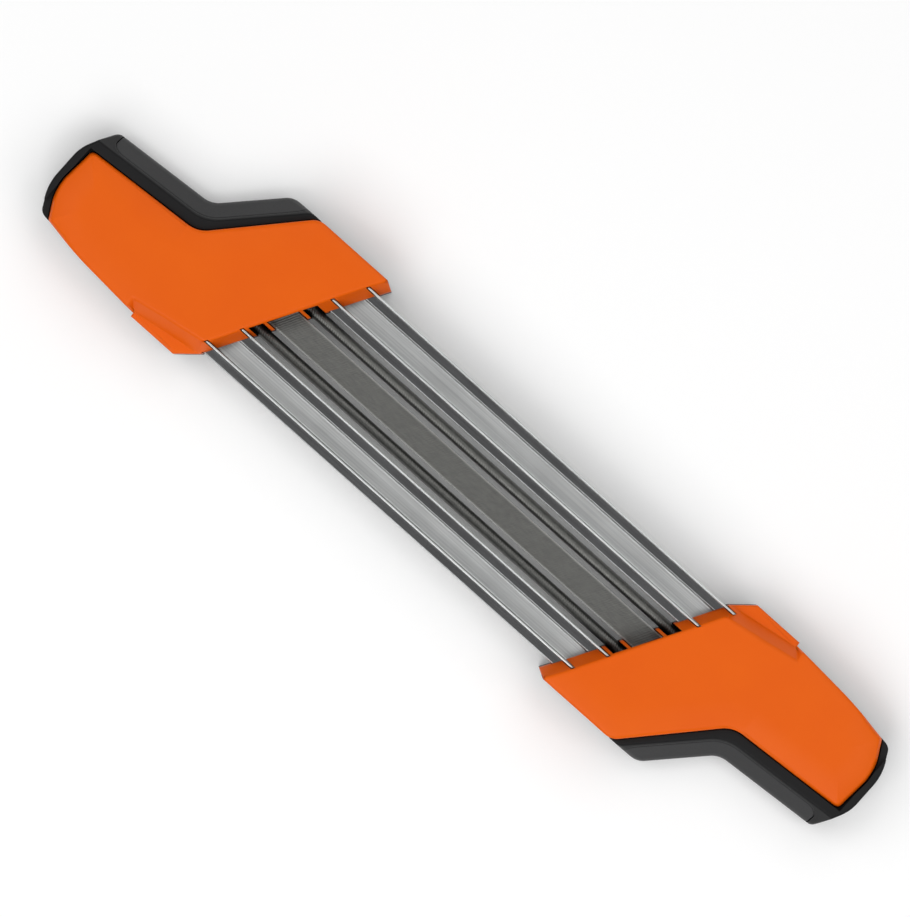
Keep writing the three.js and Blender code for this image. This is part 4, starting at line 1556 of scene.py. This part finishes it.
@dataclass
class CutFile:
    """What the round and flat files share: a cut length, its teeth and a tang towards +X.

    The teeth are drawn a little coarser than real ones so that they show.
    """

    layout: Layout
    finishes: Sequence[bpy.types.Material]
    tooth: float
    tooth_depth: float
    tang: float
    sharp: float
    slope: float = 3.0
    tooth_back: float = 0.7

    @property
    def half(self) -> float:
        """Half the file's length without its tang."""
        return self.layout.file_length / 2

    @property
    def end(self) -> float:
        """Where the cut length ends."""
        return self.half - self.slope

    def teeth(self, before: int, after: int) -> list[tuple[float, bool]]:
        """Roots and crests of the teeth in turn.

        Args:
            before: Spare teeth before the file's start.
            after: Spare teeth after the end of its cut length.

        Returns:
            Each one's place along X, and whether it is a crest.
        """
        rows = range(-2 * before, int(2 * (self.end + self.half) / self.tooth) + 2 * after)
        return [((row // 2 + self.tooth_back * (row % 2)) * self.tooth - self.half, row % 2 == 1)
                for row in rows]

    def clamped(self, x: float) -> float:
        """A place along X, kept on the cut length."""
        return min(max(x, -self.half), self.end)

    def dress(self, solid: Solid, name: str, body: str, side: Side) -> None:
        """Shows the file on one side."""
        show(name, solid, self.finishes, body, "file_steel", side, self.sharp)


@dataclass
class RoundFile(CutFile):
    """A round file with spiral cut teeth and a tapered tang.

    The tang's tip is rounded by rings, each with its distance from the very end and its
    share of the tip's radius.
    """

    tooth: float = 0.95
    tooth_depth: float = 0.09
    tang: float = 35.0
    sharp: float = 14.0
    shoulder_run: float = 0.4
    shoulder_drop: float = 0.05
    root_radius: float = 1.3
    tip_radius: float = 0.8
    tip_rings: tuple[tuple[float, float], ...] = ((0.8, 1.0), (0.2, 0.6), (0.0, 0.2))
    starts: int = 6
    steps: int = 30

    def body(self) -> Solid:
        """Builds the file on the +Y side.

        Returns:
            The file.
        """
        radius, tip = self.layout.round_radius, self.half + self.tang
        rows: list[list[Place]] = []
        for start, crest in self.teeth(self.starts, 1):
            ring = []
            for k in range(self.steps):
                x = start + self.starts * k / self.steps * self.tooth
                wide = radius if crest and -self.half < x < self.end else radius - self.tooth_depth
                ring.append(self.spot(self.clamped(x), wide, k))
            rows.append(ring)
        smooth = [(self.end + self.shoulder_run, radius - self.shoulder_drop),
                  (self.half, self.root_radius),
                  *((tip - back, share * self.tip_radius) for back, share in self.tip_rings)]
        rows += [[self.spot(x, wide, k) for k in range(self.steps)] for x, wide in smooth]
        return Solid.loft(rows)

    def spot(self, x: float, radius: float, step: int) -> Place:
        """A point on the file at one of its steps round the axis."""
        angle, lay = 2 * math.pi * step / self.steps, self.layout
        return x, lay.round_y + radius * math.cos(angle), lay.round_z + radius * math.sin(angle)


@dataclass
class FlatFile(CutFile):
    """The flat file between them, with single cut teeth on both faces and plain edges.

    Its first material is the faces' and its second, a painted highlight, the edges'. Shoulder and tip
    say how far a ring lies from the end there, and how far its edges and its faces lie in.
    """

    tooth: float = 0.9
    tooth_depth: float = 0.06
    tang: float = 21.0
    sharp: float = 8.0
    shoulder: Place = (0.3, 0.1, 0.15)
    tang_root: float = 6.4
    root_thin: float = 0.2
    tang_tip: float = 4.0
    tip_thin: float = 0.4
    tip: Place = (0.5, 0.4, 0.7)
    land: float = 0.6
    cut_angle: float = 28.0

    def level(self, place: Callable[[float], float], wide: float, thin: Sequence[float]) -> list[Place]:
        """One of the rings that the file is lofted from.

        Args:
            place: Gives X for a place along Y.
            wide: Half of the file's width there.
            thin: How far the edges and the faces between them lie below the full thickness.

        Returns:
            The ring's points.
        """
        lay = self.layout
        low, high = lay.flat_z, lay.flat_z + lay.flat_thickness
        inner = wide * (1 - 2 * self.land / lay.flat_width)
        under = [(-wide, thin[0]), (-inner, thin[1]), (inner, thin[1]), (wide, thin[0])]
        return ([(place(y), y, low + deep) for y, deep in under]
                + [(place(y), y, high - deep) for y, deep in reversed(under)])

    def body(self) -> Solid:
        """Builds the file.

        Returns:
            The file, its edges set to the second material.
        """
        wide, skew = self.layout.flat_width / 2, math.tan(math.radians(self.cut_angle))
        spare = int(2 * wide * skew / self.tooth) + 1
        rows: list[list[Place]] = []
        for start, crest in self.teeth(spare, spare):
            deep = 0.0 if crest and -self.half < start < self.end else self.tooth_depth
            rows.append(self.level(lambda y, x=start: self.clamped(x + y * skew), wide,
                                   (self.tooth_depth, deep)))
        run, narrow, thin = self.shoulder
        back, taper, point_thin = self.tip
        end, tip = self.half + self.tang, self.tang_tip / 2
        for x, y, deep in ((self.end + run, wide - narrow, thin),
                           (self.half, self.tang_root / 2, self.root_thin),
                           (end - back, tip, self.tip_thin), (end, tip - taper, point_thin)):
            rows.append(self.level(lambda y, x=x: x, y, (deep, deep)))
        file = Solid.loft(rows)
        # The plain strips along the edges take the second material: a painted highlight.
        for face in file.mesh.polygons:
            face.material_index = int(abs(face.center.y) > wide - self.land and face.center.x < self.end)
        return file


@dataclass
class Studio:
    """A pale floor, soft light all round and a camera straight above.

    Each lamp has its name, the way that it stands in, in degrees from the picture's right,
    and its share of the lamps' power.
    """

    floor_size: float = 6.0
    floor_drop: float = 0.1
    floor_colour: str = "#FBFBFB"
    floor_glow: float = 0.04
    world_strength: float = 0.3
    lamps: tuple[tuple[str, float, float], ...] = (
        ("left", 150, 0.8), ("back", 55, 0.75), ("right", -30, 0.85), ("front", -120, 1.6))
    lamp_power: float = 5.5
    lamp_height: float = 55.0
    lamp_size: float = 1.0
    lamp_reach: float = 1.5
    camera_turn: float = 41.75
    camera_spot: tuple[float, float] = (-7.44, 3.06)
    camera_height: float = 2651.6
    lens: float = 300.0

    def floor(self) -> None:
        """Lays the floor: it takes the light and keeps the shadow, and the camera sees it pale."""
        half, z = self.floor_size / 2, -self.floor_drop / METRE
        mesh = bpy.data.meshes.new("floor")
        mesh.from_pydata([(-half, -half, z), (half, -half, z), (half, half, z), (-half, half, z)], [],
                         [(0, 1, 2, 3)])
        floor = in_scene("floor", mesh)
        material, tree = blank_material("pale_floor")
        matt = add_node(tree, "ShaderNodeBsdfDiffuse", {"Color": linear(self.floor_colour)})
        seen = add_node(tree, "ShaderNodeLightPath", {}).outputs
        direct = add_node(tree, "ShaderNodeMath",
                          {0: seen["Is Camera Ray"], 1: seen["Is Glossy Ray"]}, operation="MAXIMUM")
        shown = add_node(tree, "ShaderNodeMath",
                         {0: direct.outputs["Value"], 1: seen["Is Transmission Ray"]},
                         operation="MAXIMUM")
        part = add_node(tree, "ShaderNodeMath", {0: shown.outputs["Value"], 1: self.floor_glow},
                        operation="MULTIPLY")
        glow = add_node(tree, "ShaderNodeEmission", {"Strength": part.outputs["Value"]})
        both = add_node(tree, "ShaderNodeAddShader",
                        {0: matt.outputs["BSDF"], 1: glow.outputs["Emission"]})
        add_node(tree, "ShaderNodeOutputMaterial", {"Surface": both.outputs["Shader"]})
        mesh.materials.append(material)

    def light(self) -> None:
        """Sets an even world and four large lamps round the object."""
        world = bpy.data.worlds.new("studio")
        bpy.context.scene.world = world
        world.use_nodes = True
        tree = world.node_tree
        tree.nodes.clear()
        back = add_node(tree, "ShaderNodeBackground",
                        {"Color": linear("#FFFFFF"), "Strength": self.world_strength})
        add_node(tree, "ShaderNodeOutputWorld", {"Surface": back.outputs["Background"]})
        rise = math.radians(self.lamp_height)
        for name, turn, share in self.lamps:
            lamp = bpy.data.lights.new(f"lamp_{name}", "AREA")
            lamp.energy, lamp.size = self.lamp_power * share, self.lamp_size
            item = in_scene(f"lamp_{name}", lamp)
            angle, flat = math.radians(turn + self.camera_turn), math.cos(rise)
            item.location = self.lamp_reach * Vector((flat * math.cos(angle), flat * math.sin(angle),
                                                      math.sin(rise)))
            item.rotation_euler = (-item.location).to_track_quat("-Z", "Y").to_euler()

    def camera(self) -> None:
        """Hangs the camera straight above, turned as the tool lies."""
        data = bpy.data.cameras.new("camera")
        data.lens = self.lens
        camera = in_scene("camera", data)
        camera.location = Vector((*self.camera_spot, self.camera_height)) / METRE
        camera.rotation_euler = (0.0, 0.0, math.radians(self.camera_turn))
        bpy.context.scene.camera = camera

    def build(self) -> None:
        """Sets up the floor, the light, the camera and the view transform."""
        self.floor()
        self.light()
        self.camera()
        bpy.context.scene.view_settings.view_transform = "Standard"


def main() -> None:
    """Builds the studio and every piece of the guide, and reports each one."""
    logging.basicConfig(level=logging.INFO, format="%(message)s")
    Studio().build()
    handle = Handle(Layout())
    black, orange, zinc, steel, soft, rubber = (
        [finish.material()] for finish in (BLACK_NYLON, ORANGE_ABS, ZINC_PLATE, FILE_STEEL,
                                           SOFT_ELASTOMER, PRESSED_RUBBER))
    for piece in (Base(handle, black), Cover(handle, orange), Grip(handle, soft),
                  ClampPad(handle, rubber), HingePin(handle, zinc), RailScrew(handle, zinc)):
        solid = piece.body()
        for side in Side:
            piece.dress(solid, side)
    # The rails' second material paints shade on the ribs' tops.
    rail = Rail(handle, [DRAWN_ALUMINIUM.material(), PAINTED_SHADE_ALUMINIUM.material()])
    rail.dress(rail.body(Side.B), "rail_right", Side.B)
    rail.dress(rail.body(Side.A), "rail_left", Side.A)
    round_file = RoundFile(handle.layout, steel)
    turned = round_file.body()
    round_file.dress(turned, "round_file_right", "round_right", Side.B)
    round_file.dress(turned, "round_file_left", "round_left", Side.A)
    # The flat file's second material paints a highlight along its edges.
    flat_file = FlatFile(handle.layout, [*steel, PAINTED_HIGHLIGHT_STEEL.material()])
    flat_file.dress(flat_file.body(), "flat_file", "frame", Side.B)


if __name__ == "__main__":
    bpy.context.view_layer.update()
    main()
